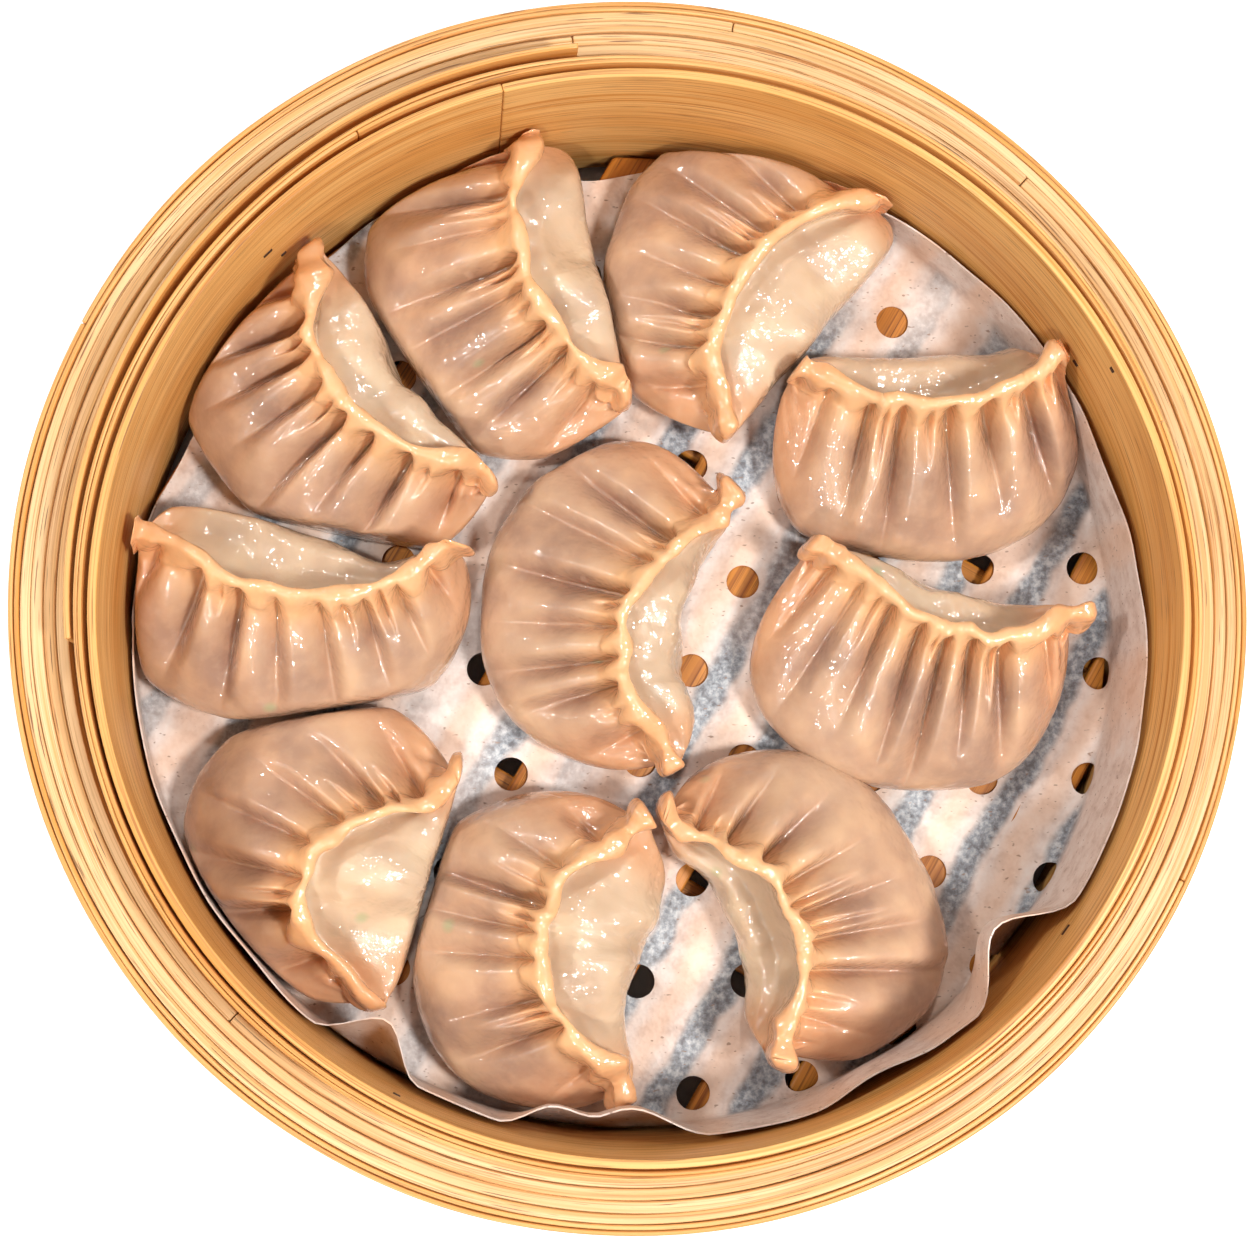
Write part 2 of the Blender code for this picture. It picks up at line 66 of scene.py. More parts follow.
# Floor of slats
FLOOR_TOP = 14 * MM
SLAT_THICKNESS = 3 * MM
SLAT_WIDTH = 10 * MM
SLAT_PITCH = 16.8 * MM
SLAT_SHIFT = 0.7 * MM
SLATS_EACH_SIDE = 6
OUTER_SLAT_CENTRE = 97 * MM
SLAT_TURN = math.radians(60)
SLAT_ROUNDING = 0.8 * MM
BATTEN_THICKNESS = 5.5 * MM
BATTEN_WIDTH = 12 * MM
BATTEN_OFFSET = 46 * MM
FLOOR_REACH = WALL_RADIUS - 0.7 * MM

# Paper liner
PAPER_THICKNESS = 0.35 * MM
PAPER_BASE = FLOOR_TOP + GAP
PAPER_RADIUS = 123 * MM
PAPER_CENTRE = Vector((11, -13, 0)) * MM
PAPER_FILLET = 3 * MM
PAPER_OUTER = WALL_RADIUS - 0.8 * MM
PAPER_BEND = PAPER_OUTER - PAPER_FILLET
PAPER_SPOKES = 300
PAPER_FLAT_STEPS = 56
PAPER_WALL_STEPS = 26
PAPER_SAG = 0.9 * MM
# How far its stripes drift sideways, and the middle of that drift
PAPER_DRIFT = 7 * MM
PAPER_DRIFT_MIDDLE = 4.6 * MM
PAPER_SLACK = 0.5 * MM
TORN_EDGE = 0.35 * MM
HOLES_CENTRE = Vector((14, -11, 0)) * MM
HOLE_RADIUS = 3.6 * MM
HOLE_SIDES = 40
HOLE_RING_STEP = 22.5 * MM
HOLE_RINGS = (6, 12, 18, 24)
PUNCH_LENGTH = 6 * MM
# Where the rim of the paper falls short: azimuth and half width in degrees, depth in millimetres
PAPER_NOTCHES = ((93, 24, 11), (138, 34, 4), (160, 20, 5))
# Where it folds inwards off the wall: azimuth, half width, and how far in its edge leans
PAPER_FOLDS = ((-42, 9, 10), (-63, 8, 2), (-91, 9, 6), (-100, 6, 5), (-122, 7, 9), (16, 14, 1.5))
FOLD_CURVE = 0.8

# Dumplings
DUMPLING_REST = PAPER_BASE + 0.4 * MM + GAP
FLANGE = 4.5 * MM
FLANGE_HALF = 1.1 * MM
PLEAT_DEPTH = 2.3 * MM
BACK_FAN = 0.6
# Corner points of a cross-section: first the tip of the seam, then those of the belly from the
# seam's flange down and under, then those of the back from the base up to the flange. Each lies
# out by a share of the belly's or the back's reach, and up by a share of the body's height.
BELLY_OUT = (0.02, 0.36, 0.74, 0.97, 0.96, 0.74, 0.1)
BELLY_UP = (0.98, 0.88, 0.65, 0.38, 0.15, 0, 0)
BACK_OUT = (0.66, 0.93, 1, 0.8, 0.42, 0.05)
BACK_UP = (0, 0.12, 0.32, 0.56, 0.72, 0.9)
BACK_SINK = (0, 0, 0, 0.06, 0.2, 0.1)
SECTION_POINTS = 1 + len(BELLY_OUT) + len(BACK_OUT)
# How the cross-section shrinks towards the horns, as powers of the way there
BELLY_POWER = 3
BACK_POWER = 2.6
RIDGE_POWER = 2.2
HORN_POWER = 14
HORN_FROM = 0.78
HORN_FOOT = 9 * MM
HORN_MIDDLE = 0.55
HORN_SLIM = 0.35
# Positions on the section, counted in corner points, where the pleats begin, are whole, and fade
PLEATS_BEGIN, PLEATS_WHOLE = 0.4, 1.2
PLEATS_FADE, PLEATS_END = 2.6, 4.8
RIDGE_SHARE = 0.25
CREASE_POWER = 0.7
PARTING_SOFTNESS = 2.5 * MM
PARTING_REACH = 85 * MM
PARTING_ANGLES = 90
WALL_CLEARANCE = 0.6 * MM
PAPER_CLEARANCE = 0.8 * MM
PAPER_ROOM = 1.3 * MM
# Fine dough: mesh steps, and the small shapes that hands leave on it
AROUND_STEPS = 154
STEPS_A_PLEAT = 26
FOLD_DEPTH = 5.2 * MM
FOLD_PUFF = 1.7 * MM
FOLD_LAP = 0.34
FOLD_SWEEP = 0.2
FOLDS_FROM, FOLDS_DEEP, FOLDS_TO = 0.1, 1.0, 4.7
FOLD_ROUND = (0.8, 1.15)
FOLD_STRENGTH = (0.6, 1.2)
FOLD_REACH = (0.66, 1.0)
FOLD_STRAY = 0.15
FOLD_FADES, PUFF_FADES = 0.4, 0.3
# The lesser folds that split a finger: all near the horns, and by chance elsewhere
SPLIT_ENDS = 2.5
SPLIT_CHANCE = 0.4
SPLIT_ASIDE = (0.4, 0.6)
SPLIT_HALF_WIDTH = 0.3
SPLIT_STRENGTH = (0.4, 0.7)
SPLIT_REACH = (0.35, 0.6)
SEAM_LEAN = 1.9 * MM
SEAM_PUFF = (1.3 * MM, 3.2 * MM)
SEAM_WAVE = 0.9 * MM
SEAM_RIPPLE = 0.6 * MM
# Pitches of the seam's waves, counted in pleats
WAVE_PITCH, RIPPLE_PITCH, THICK_PITCH = 2.4, 1.7, 2.9
SEAM_MIDDLE = 0.35
SEAM_HALF_WIDTH = (0.95, 1.6)
SEAM_UNEVEN = 0.6
BACK_PUFF = 2.0 * MM
PUFF_MIDDLE, PUFF_WIDTH = 11.2, 1.4
BACK_SWELL = (0, 0.02, 0.08, 0.13, 0.12, -0.05)
BACK_LUMP = 6.0 * MM
BACK_LUMP_PITCH = 15 * MM
BELLY_END, HORN_END = 3.5, 34
LUMP = 1.2 * MM
LUMP_PITCH = 10 * MM
DIMPLE = 0.2 * MM
DIMPLE_PITCH = 3.0 * MM
CRINKLE = 1.3 * MM
CRINKLE_PITCH = 3.1 * MM
CRINKLE_SHARE = 0.45
HORNS_BEGIN, HORNS_RISE = 0.6, 0.32
EAR_FROM = 0.8
EAR = (2.0 * MM, 5.0 * MM)
EAR_NECK = 0.45
NECK_MIDDLE, NECK_WIDTH = 0.89, 0.04

# Camera, with its focal length in pixels of the photo
CAMERA_PLACE = Vector((-38.25, -51.86, 480.57)) * MM
CAMERA_TILT = (0.082, 0.108)
FOCAL_LENGTH = 2171.6
PHOTO_WIDTH = 1254

# Lamps: name, azimuth and height in degrees as seen from the basket, size in metres, power in watts
LAMPS = (
    ("soft_box", -28, 61, 0.17, 7.6), ("small_box_front", -105, 52, 0.1, 3.0),
    ("small_box_behind", 85, 58, 0.1, 2.0), ("small_box_left", 172, 50, 0.1, 3.4))
LAMP_DISTANCE = 0.95
LAMP_COLOUR = (1.0, 0.98, 0.95)
SURROUND_STRENGTH = 0.17
GLOW_FROM, GLOW_WHOLE, GLOW = 118 * MM, 135 * MM, 0.5


@dataclass(frozen=True)
class Dumpling:
    """A crescent dumpling. Lengths are in millimetres and angles in degrees.

    x, y: middle of the line between its two horns. heading: the way its pleated belly faces.
    half: half the distance between the horns. bow: how far the seam bows towards the belly.
    front, back: how far belly and back reach out from the seam. skew, lean: how much more they
    reach on the second horn's side. curl: how sharply each end of the seam turns up, 2 is round.
    fan: how far the ends of the crescent splay. horns: how high its two tips stand.
    hollow: how deep the back sinks behind the seam.
    """

    name: str
    x: float
    y: float
    heading: float
    half: float
    bow: float
    front: float
    back: float
    skew: float
    lean: float
    curl: tuple
    fan: float
    tall: float
    horns: tuple
    hollow: float
    pleats: int


DUMPLINGS = (
    Dumpling(
        "upper_left", x=-9.7, y=75.1, heading=-157, half=30.4, bow=16.2, front=29.4, back=19.0, skew=-0.09,
        lean=-0.36, curl=(2.1, 3.5), fan=32, tall=28, horns=(19, 17), hollow=0.1, pleats=9),
    Dumpling(
        "top", x=39.4, y=64.0, heading=149, half=30.6, bow=19.2, front=28.6, back=22.0, skew=-0.25,
        lean=0.0, curl=(1.8, 5.0), fan=33, tall=28, horns=(20, 17), hollow=0.0, pleats=9),
    Dumpling(
        "right_upper", x=63.8, y=57.2, heading=-85, half=29.5, bow=15.7, front=29.1, back=14.8, skew=-0.09,
        lean=-0.1, curl=(3.1, 2.6), fan=30, tall=29, horns=(20, 30), hollow=0.9, pleats=8),
    Dumpling(
        "left_upper", x=-46.7, y=52.6, heading=-141, half=29.5, bow=19.0, front=27.3, back=15.0, skew=-0.13,
        lean=-0.6, curl=(2.8, 2.3), fan=34, tall=27, horns=(20, 18), hollow=0.3, pleats=9),
    Dumpling(
        "left", x=-70.3, y=17.0, heading=-88, half=32.0, bow=17.2, front=23.6, back=17.0, skew=-0.18,
        lean=-0.6, curl=(1.6, 4.6), fan=39, tall=28, horns=(24, 25), hollow=0.9, pleats=9),
    Dumpling(
        "centre", x=15.8, y=-3.8, heading=169, half=26.8, bow=19.8, front=28.1, back=13.5, skew=-0.3,
        lean=0.6, curl=(1.6, 3.8), fan=46, tall=28, horns=(18, 16), hollow=0.3, pleats=9),
    Dumpling(
        "right_lower", x=65.4, y=8.6, heading=-103, half=27.7, bow=14.5, front=31.5, back=12.3, skew=-0.19,
        lean=-0.09, curl=(1.6, 3.8), fan=31, tall=29, horns=(20, 26), hollow=0.8, pleats=9),
    Dumpling(
        "lower_left", x=-42.6, y=-59.0, heading=160, half=22.6, bow=25.5, front=27.6, back=24.0, skew=-0.3,
        lean=0.5, curl=(1.7, 4.6), fan=46, tall=27, horns=(17, 16), hollow=0.1, pleats=8),
    Dumpling(
        "bottom", x=2.0, y=-71.6, heading=175, half=26.0, bow=23.2, front=24.2, back=21.5, skew=0.07,
        lean=-0.5, curl=(3.6, 2.3), fan=47, tall=28, horns=(19, 16), hollow=0.1, pleats=9),
    Dumpling(
        "lower_right", x=16.0, y=-67.4, heading=24, half=24.9, bow=17.3, front=30.3, back=10.8, skew=-0.2,
        lean=-0.28, curl=(3.6, 2.2), fan=48, tall=28, horns=(23, 20), hollow=0.9, pleats=9),
)


def linear(colour):
    """An sRGB hex colour such as "#E3BE85" as the linear values that a shader takes."""
    parts = [int(colour[start:start + 2], 16) / 255 for start in (1, 3, 5)]
    return (*(p / 12.92 if p <= 0.04045 else ((p + 0.055) / 1.055) ** 2.4 for p in parts), 1)


def add(nodes, kind, inputs=None, stops=(), **settings):
    """Adds a node. Its inputs are values, or outputs of other nodes to link; stops fill a ramp."""
    made = nodes.new(kind)
    for name, value in settings.items():
        setattr(made, name, value)
    for name, value in (inputs or {}).items():
        if isinstance(value, bpy.types.NodeSocket):
            nodes.id_data.links.new(value, made.inputs[name])
        else:
            made.inputs[name].default_value = value
    for number, (position, colour) in enumerate(stops):
        if number > 1:
            made.color_ramp.elements.new(position)
        made.color_ramp.elements[number].position = position
        made.color_ramp.elements[number].color = linear(colour)
    return made


def new_finish(name):
    """An empty material: returns it, its nodes, and its shader."""
    made = bpy.data.materials.new(name)
    made.use_nodes = True
    nodes = made.node_tree.nodes
    return made, nodes, nodes["Principled BSDF"]


def overlay(nodes, base, layers):
    """Lays colours over a base: (pattern, where it begins, where it is whole, strength, colour)."""
    for pattern, begins, whole, strength, colour in layers:
        share = add(nodes, "ShaderNodeMapRange", {
            "Value": pattern, "From Min": begins, "From Max": whole, "To Max": strength}).outputs[0]
        base = add(nodes, "ShaderNodeMix", {
            0: share, 6: base, 7: linear(colour)}, data_type="RGBA").outputs[2]
    return base


def split_bamboo(name, pale, warm, dark, line, roughness, fibre=0.5 * MM, lines=0.6):
    """Split and planed bamboo: straight long fibres, brown bundle lines, and a satin face.

    The eye gets a soft sheen along the fibres and fine streaks that never cross each other.
    """
    made, nodes, shader = new_finish(name)
    grain = add(nodes, "ShaderNodeAttribute", attribute_name="grain").outputs["Vector"]

    def streaks(length, width, detail):
        stretched = add(nodes, "ShaderNodeMapping", {
            "Vector": grain, "Scale": (1 / length, 1 / width, 1 / width)}).outputs["Vector"]
        return add(nodes, "ShaderNodeTexNoise", {
            "Vector": stretched, "Scale": 1.0, "Detail": detail, "Roughness": 0.55}).outputs["Fac"]

    fibres = streaks(46 * MM, fibre, 2)
    bundles = streaks(90 * MM, 3.5 * fibre, 1)
    tone = streaks(60 * MM, 14 * MM, 0)
    breaks = streaks(14 * MM, 1.3 * fibre, 1)
    body = add(nodes, "ShaderNodeValToRGB", {"Fac": bundles}, stops=(
        (0.34, warm), (0.5, pale), (0.72, pale)))
    streaked = overlay(nodes, body.outputs["Color"], (
        (tone, 0.4, 0.68, 0.6, warm), (fibres, 0.5, 0.68, 0.7, dark), (breaks, 0.66, 0.71, lines, line)))
    nodes.id_data.links.new(streaked, shader.inputs["Base Color"])
    rough = add(nodes, "ShaderNodeMapRange", {
        "Value": fibres, "From Min": 0.3, "From Max": 0.75,
        "To Min": roughness - 0.06, "To Max": roughness + 0.12}).outputs[0]
    nodes.id_data.links.new(rough, shader.inputs["Roughness"])
    relief = add(nodes, "ShaderNodeBump", {
        "Height": fibres, "Strength": 0.5, "Distance": 0.12 * MM}).outputs["Normal"]
    nodes.id_data.links.new(relief, shader.inputs["Normal"])
    shader.inputs["IOR"].default_value = 1.5
    return made


def damp_paper():
    """Greaseproof paper, damp: the eye gets a dull, nearly white sheet with a fine fibrous crinkle.

    The slats beneath are painted on it as a warm tint, standing in for light coming through
    the sheet. Over the gaps it is wet and beaded, and painted grey as the shade of the gaps below
    seen through it.
    """
    made, nodes, shader = new_finish("damp_greaseproof_paper")
    place = add(nodes, "ShaderNodeTexCoord").outputs["Object"]
    along_slats = add(nodes, "ShaderNodeMapping", {
        "Vector": place, "Rotation": (0, 0, -SLAT_TURN)}, vector_type="POINT").outputs["Vector"]
    across = add(nodes, "ShaderNodeSeparateXYZ", {"Vector": along_slats}).outputs["Y"]
    drift = add(nodes, "ShaderNodeTexNoise", {
        "Vector": place, "Scale": 1 / (14 * MM), "Detail": 2.0}).outputs["Fac"]
    wandering = add(nodes, "ShaderNodeMath", {
        0: across, 1: add(nodes, "ShaderNodeMath", {
            0: drift, 1: PAPER_DRIFT}, operation="MULTIPLY").outputs[0]}, operation="ADD").outputs[0]
    centred = add(nodes, "ShaderNodeMath", {
        0: wandering, 1: SLAT_SHIFT + PAPER_DRIFT_MIDDLE}, operation="SUBTRACT").outputs[0]
    wave = add(nodes, "ShaderNodeMath", {
        0: add(nodes, "ShaderNodeMath", {
            0: centred, 1: math.tau / SLAT_PITCH}, operation="MULTIPLY").outputs[0]},
        operation="COSINE").outputs[0]
    over_gap = add(nodes, "ShaderNodeMapRange", {
        "Value": wave, "From Min": -0.15, "From Max": -0.85}, interpolation_type="SMOOTHSTEP").outputs[0]
    patches = add(nodes, "ShaderNodeTexNoise", {
        "Vector": place, "Scale": 1 / (34 * MM), "Detail": 1.0}).outputs["Fac"]
    wet = add(nodes, "ShaderNodeMapRange", {
        "Value": patches, "From Min": 0.3, "From Max": 0.55}).outputs[0]
    beads = add(nodes, "ShaderNodeTexVoronoi", {
        "Vector": place, "Scale": 1 / (1.1 * MM)}).outputs["Distance"]
    grit = add(nodes, "ShaderNodeTexNoise", {
        "Vector": place, "Scale": 1 / (1.6 * MM), "Detail": 3.0, "Roughness": 0.65}).outputs["Fac"]
    lying = add(nodes, "ShaderNodeMapRange", {
        "Value": add(nodes, "ShaderNodeSeparateXYZ", {"Vector": place}).outputs["Z"],
        "From Min": 21 * MM, "From Max": 16 * MM}).outputs[0]
    # Painted shade: where the sheet lies wet over a gap, the shaded gap beneath is painted on it in grey.
    wet_gap_shade_share = add(nodes, "ShaderNodeMath", {
        0: add(nodes, "ShaderNodeMath", {0: over_gap, 1: wet}, operation="MULTIPLY").outputs[0],
        1: lying}, operation="MULTIPLY").outputs[0]
    grey = add(nodes, "ShaderNodeValToRGB", {"Fac": grit}, stops=(
        (0.36, "#3F4B58"), (0.5, "#76838F"), (0.66, "#B3BABF")))
    fibre_tone = add(nodes, "ShaderNodeTexNoise", {
        "Vector": place, "Scale": 1 / (5 * MM), "Detail": 3.0, "Roughness": 0.7}).outputs["Fac"]
    plain = add(nodes, "ShaderNodeValToRGB", {"Fac": fibre_tone}, stops=(
        (0.3, "#CAB5AA"), (0.5, "#E0D0C7"), (0.7, "#E8DDD6")))
    # Painted see-through light: a warm tint over each slat, as the slats beneath would show through the
    # sheet.
    tint = overlay(nodes, plain.outputs["Color"], ((wave, 0.1, 0.9, 0.42, "#E9BC98"),))
    with_painted_see_through = add(nodes, "ShaderNodeMix", {
        0: add(nodes, "ShaderNodeMath", {0: wet_gap_shade_share, 1: 0.85}, operation="MULTIPLY").outputs[0],
        6: tint, 7: grey.outputs["Color"]}, data_type="RGBA").outputs[2]
    specks = add(nodes, "ShaderNodeTexNoise", {
        "Vector": add(nodes, "ShaderNodeMapping", {
            "Vector": place, "Scale": (1 / (1.6 * MM), 1 / (0.8 * MM), 1 / (1.2 * MM))}).outputs["Vector"],
        "Scale": 1.0, "Detail": 1.0}).outputs["Fac"]
    specked = overlay(nodes, with_painted_see_through, ((specks, 0.69, 0.76, 0.7, "#8A6A55"),))
    nodes.id_data.links.new(specked, shader.inputs["Base Color"])
    rough = add(nodes, "ShaderNodeMapRange", {
        "Value": wet_gap_shade_share, "To Min": 0.55, "To Max": 0.42}).outputs[0]
    nodes.id_data.links.new(rough, shader.inputs["Roughness"])
    beading = add(nodes, "ShaderNodeBump", {
        "Height": beads, "Strength": 0.35, "Distance": 0.25 * MM}).outputs["Normal"]
    crinkle = add(nodes, "ShaderNodeBump", {
        "Height": fibre_tone, "Strength": 0.5, "Distance": 0.3 * MM, "Normal": beading}).outputs["Normal"]
    nodes.id_data.links.new(crinkle, shader.inputs["Normal"])
    shader.inputs["IOR"].default_value = 1.45
    return made


def steamed_dough():
    """Steamed wheat dough, thin, wet and translucent, over a meat filling.

    Light goes into it and comes out warm at thin edges. Its wet skin gives many small sharp
    highlights, the seam and horns are dense and peach, the dark filling shows through in patches,
    and shade is painted dark red-brown into the creases.
    """
    made, nodes, shader = new_finish("steamed_wheat_dough")
    place = add(nodes, "ShaderNodeTexCoord").outputs["Object"]
    marks = add(nodes, "ShaderNodeSeparateXYZ", {
        "Vector": add(nodes, "ShaderNodeAttribute", attribute_name="dough").outputs["Vector"]})
    seam, crease, behind = (marks.outputs[axis] for axis in "XYZ")
    horn = add(nodes, "ShaderNodeAttribute", attribute_name="horn").outputs["Fac"]
    cloudy = add(nodes, "ShaderNodeTexNoise", {
        "Vector": place, "Scale": 1 / (13 * MM), "Detail": 2.0}).outputs["Fac"]
    fine = add(nodes, "ShaderNodeTexNoise", {
        "Vector": place, "Scale": 1 / (2.4 * MM), "Detail": 2.0, "Roughness": 0.6}).outputs["Fac"]
    belly = add(nodes, "ShaderNodeValToRGB", {"Fac": cloudy}, stops=(
        (0.34, "#A78570"), (0.5, "#BE987C"), (0.68, "#CFA988")))
    back = add(nodes, "ShaderNodeValToRGB", {"Fac": cloudy}, stops=(
        (0.3, "#BDA185"), (0.5, "#CBB094"), (0.7, "#D8C0A1")))
    body = add(nodes, "ShaderNodeMix", {
        0: behind, 6: belly.outputs["Color"], 7: back.outputs["Color"]}, data_type="RGBA").outputs[2]
    filling = add(nodes, "ShaderNodeTexNoise", {
        "Vector": place, "Scale": 1 / (12 * MM), "Detail": 1.0}).outputs["Fac"]
    herbs = add(nodes, "ShaderNodeTexVoronoi", {
        "Vector": place, "Scale": 1 / (21 * MM)}).outputs["Distance"]
    # Painted shade: the crease mark darkens the dough red-brown by how deep in a fold each place lies.
    tinted = overlay(nodes, body, (
        (filling, 0.5, 0.72, 0.3, "#977B6F"), (crease, 0, 1, 0.6, "#784838"),
        (seam, 0, 1, 0.85, "#E9B581"), (horn, 0, 1, 0.55, "#D99765"),
        (fine, 0.45, 0.75, 0.22, "#D2AE8E"), (herbs, 0.09, 0.03, 0.5, "#93A87C")))
    nodes.id_data.links.new(tinted, shader.inputs["Base Color"])
    rough = add(nodes, "ShaderNodeMapRange", {
        "Value": fine, "From Min": 0.3, "From Max": 0.7, "To Min": 0.3, "To Max": 0.44}).outputs[0]
    nodes.id_data.links.new(rough, shader.inputs["Roughness"])
    swells = add(nodes, "ShaderNodeBump", {
        "Height": cloudy, "Strength": 0.6, "Distance": 1.2 * MM}).outputs["Normal"]
    wet_skin = add(nodes, "ShaderNodeTexNoise", {
        "Vector": place, "Scale": 1 / (1.9 * MM), "Detail": 1.2, "Roughness": 0.45}).outputs["Fac"]
    ripples = add(nodes, "ShaderNodeBump", {
        "Height": wet_skin, "Strength": 1.0, "Distance": 0.6 * MM, "Normal": swells}).outputs["Normal"]
    nodes.id_data.links.new(swells, shader.inputs["Normal"])
    nodes.id_data.links.new(ripples, shader.inputs["Coat Normal"])
    shader.inputs["IOR"].default_value = 1.42
    shader.subsurface_method = "BURLEY"
    shader.inputs["Subsurface Weight"].default_value = 0.4
    shader.inputs["Subsurface Radius"].default_value = (1.0, 0.55, 0.32)
    shader.inputs["Subsurface Scale"].default_value = 2.2 * MM
    shader.inputs["Coat Weight"].default_value = 1.0
    shader.inputs["Coat Roughness"].default_value = 0.04
    shader.inputs["Coat IOR"].default_value = 1.55
    return made


def ease(share):
    share = np.clip(share, 0, 1)
    return share * share * (3 - 2 * share)


def bump(azimuth, middle, half_width):
    """A smooth hump of height 1 round an azimuth in degrees, and 0 past its half width."""
    away = np.abs((azimuth - middle + 180) % 360 - 180) / half_width
    return (1 + np.cos(math.pi * np.minimum(away, 1))) / 2


def waver(place, pitch, seed):
    """A smooth uneven wave from -1 to 1 along a length, whose humps lie about a pitch apart."""
    draw = random.Random(seed)
    waves = [np.sin(math.tau * (place / (pitch * draw.uniform(0.5, 1.4)) + draw.random())) for _ in range(3)]
    return sum(waves) / len(waves)


def corners_of(mesh):
    places = np.empty(len(mesh.vertices) * 3, np.float32)
    mesh.vertices.foreach_get("co", places)
    return places.reshape(-1, 3).astype(float)


def set_corners(mesh, places):
    mesh.vertices.foreach_set("co", places.astype(np.float32).ravel())
    mesh.update()


def mark(mesh, name, values):
    """Keeps one value or vector per corner of the mesh, for its material to read."""
    kind = "FLOAT_VECTOR" if values.ndim == 2 else "FLOAT"
    layer = mesh.attributes.new(name, kind, "POINT")
    layer.data.foreach_set("vector" if values.ndim == 2 else "value", values.astype(np.float32).ravel())


def mesh_of(build, name):
    mesh = bpy.data.meshes.new(name)
    build.to_mesh(mesh)
    build.free()
    return mesh


def show(name, mesh, finish, slot, *nodes, smooth=40):
    """Puts a finished mesh in the scene in place of the solids that it stands for."""
    mesh.materials.append(finish)
    mesh.shade_smooth()
    mesh.set_sharp_from_angle(angle=math.radians(smooth))
    piece = bpy.data.objects.new(name, mesh)
    bpy.context.scene.collection.objects.link(piece)
    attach(piece, "root")
    if nodes:
        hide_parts(*nodes)


def flat_strip(build, length, low, high, rounding, step):
    """Adds a straight strip to a bmesh: from x = 0 to its length, and from low to high in y and z."""
    made = bmesh.ops.create_cube(build, size=1)["verts"]
    for corner in made:
        corner.co = (
            (corner.co.x + 0.5) * length, low[0] + (corner.co.y + 0.5) * (high[0] - low[0]),
            low[1] + (corner.co.z + 0.5) * (high[1] - low[1]))
    edges = list({edge for corner in made for edge in corner.link_edges})
    bmesh.ops.bevel(
        build, geom=edges, affect="EDGES", offset=rounding, offset_type="OFFSET", segments=3, profile=0.5,
        material=-1)
    long_edges = [
        edge for edge in build.edges if abs(edge.verts[0].co.x - edge.verts[1].co.x) > 0.7 * length]
    bmesh.ops.subdivide_edges(build, edges=long_edges, cuts=max(1, int(length / step)), use_grid_fill=True)


def rolled_strips(name, layers, finish, slot, node, centre=Vector((0, 0, 0))):
    """Strips of bamboo bent into hoops, each butted end to end at its joint.

    A layer is (inner radius, thickness, foot, top, azimuth of its joint, degrees that it turns).
    """
    build = bmesh.new()
    parts, grain = [], []
    for number, (inner, thickness, foot, top, joint, turns) in enumerate(layers):
        part = bmesh.new()
        middle = (inner + thickness / 2) * MM
        length = math.radians(turns) * middle
        flat_strip(
            part, length, (0, foot * MM), (thickness * MM, top * MM), min(EDGE_ROUNDING, thickness * MM / 3),
            STRIP_STEP)
        mesh = mesh_of(part, f"{name}_{number}")
        flat = corners_of(mesh)
        seed = f"{name} {number}"
        near_top = ease((flat[:, 2] - foot * MM) / ((top - foot) * MM))
        height = flat[:, 2] + TOP_WOBBLE * near_top * waver(flat[:, 0], 140 * MM, seed)
        radius = inner * MM + flat[:, 1] + STRIP_WOBBLE * waver(flat[:, 0], 110 * MM, seed + " in and out")
        turn = math.radians(joint) + flat[:, 0] / middle
        set_corners(mesh, np.stack([
            centre.x + radius * np.cos(turn), centre.y + radius * np.sin(turn), height], axis=-1))
        parts.append(mesh)
        grain.append(flat + np.array([random.Random(seed).uniform(0, 5), 0.02 * number, 0]))
    for mesh in parts:
        build.from_mesh(mesh)
        bpy.data.meshes.remove(mesh)
    bmesh.ops.recalc_face_normals(build, faces=build.faces)
    mesh = mesh_of(build, name)
    mark(mesh, "grain", np.concatenate(grain))
    show(name, mesh, finish, slot, node)


def add_basket(rim_finish, band_finish, wall_finish):
    """The rim's coiled strips, the bands inside them, and the tall inner wall."""
    rolled_strips("outer_hoop_upper", [
        (123.75, 1.0, 26, 49.5, 154, 359.9), (122.55, 0.95, 26, 49.9, -27, 359.9)],
        band_finish, "bamboo_pale", "upper_hoop")
    rolled_strips("outer_hoop_lower", [(122.75, 2.0, 0.02, 23, 130, 359.9)], band_finish, "bamboo_pale",
                  "lower_hoop")
    for number, (inner, thickness, joint, top) in enumerate((
            (120.3, 2.0, 81, 49.8), (117.9, 2.3, 48, 50.2), (115.5, 2.28, 97, 49.6),
            (113.0, 2.3, -134, 50.0)), 1):
        rolled_strips(f"coiled_strip_{number}", [(inner, thickness, 0.02, top, joint, 359.9)], rim_finish,
                      "bamboo_pale", f"rim_strip_{number}")
    rolled_strips("middle_band_strips", [
        (109.0, 0.85, 4, 61.3, 122, 359.9), (109.95, 0.85, 4, 61.0, 20, 359.9)], band_finish, "bamboo_pale",
        "middle_band", MIDDLE_CENTRE)
    rolled_strips("band_tail_strip", [(111.1, 1.2, 4, 60.2, 97, 88)], band_finish, "bamboo_pale", "band_tail")
    rolled_strips("inner_wall_strip", [(106.35, 1.8, 4, 61.75, 106, 359.94)], wall_finish, "bamboo_wall",
                  "inner_wall", WALL_CENTRE)


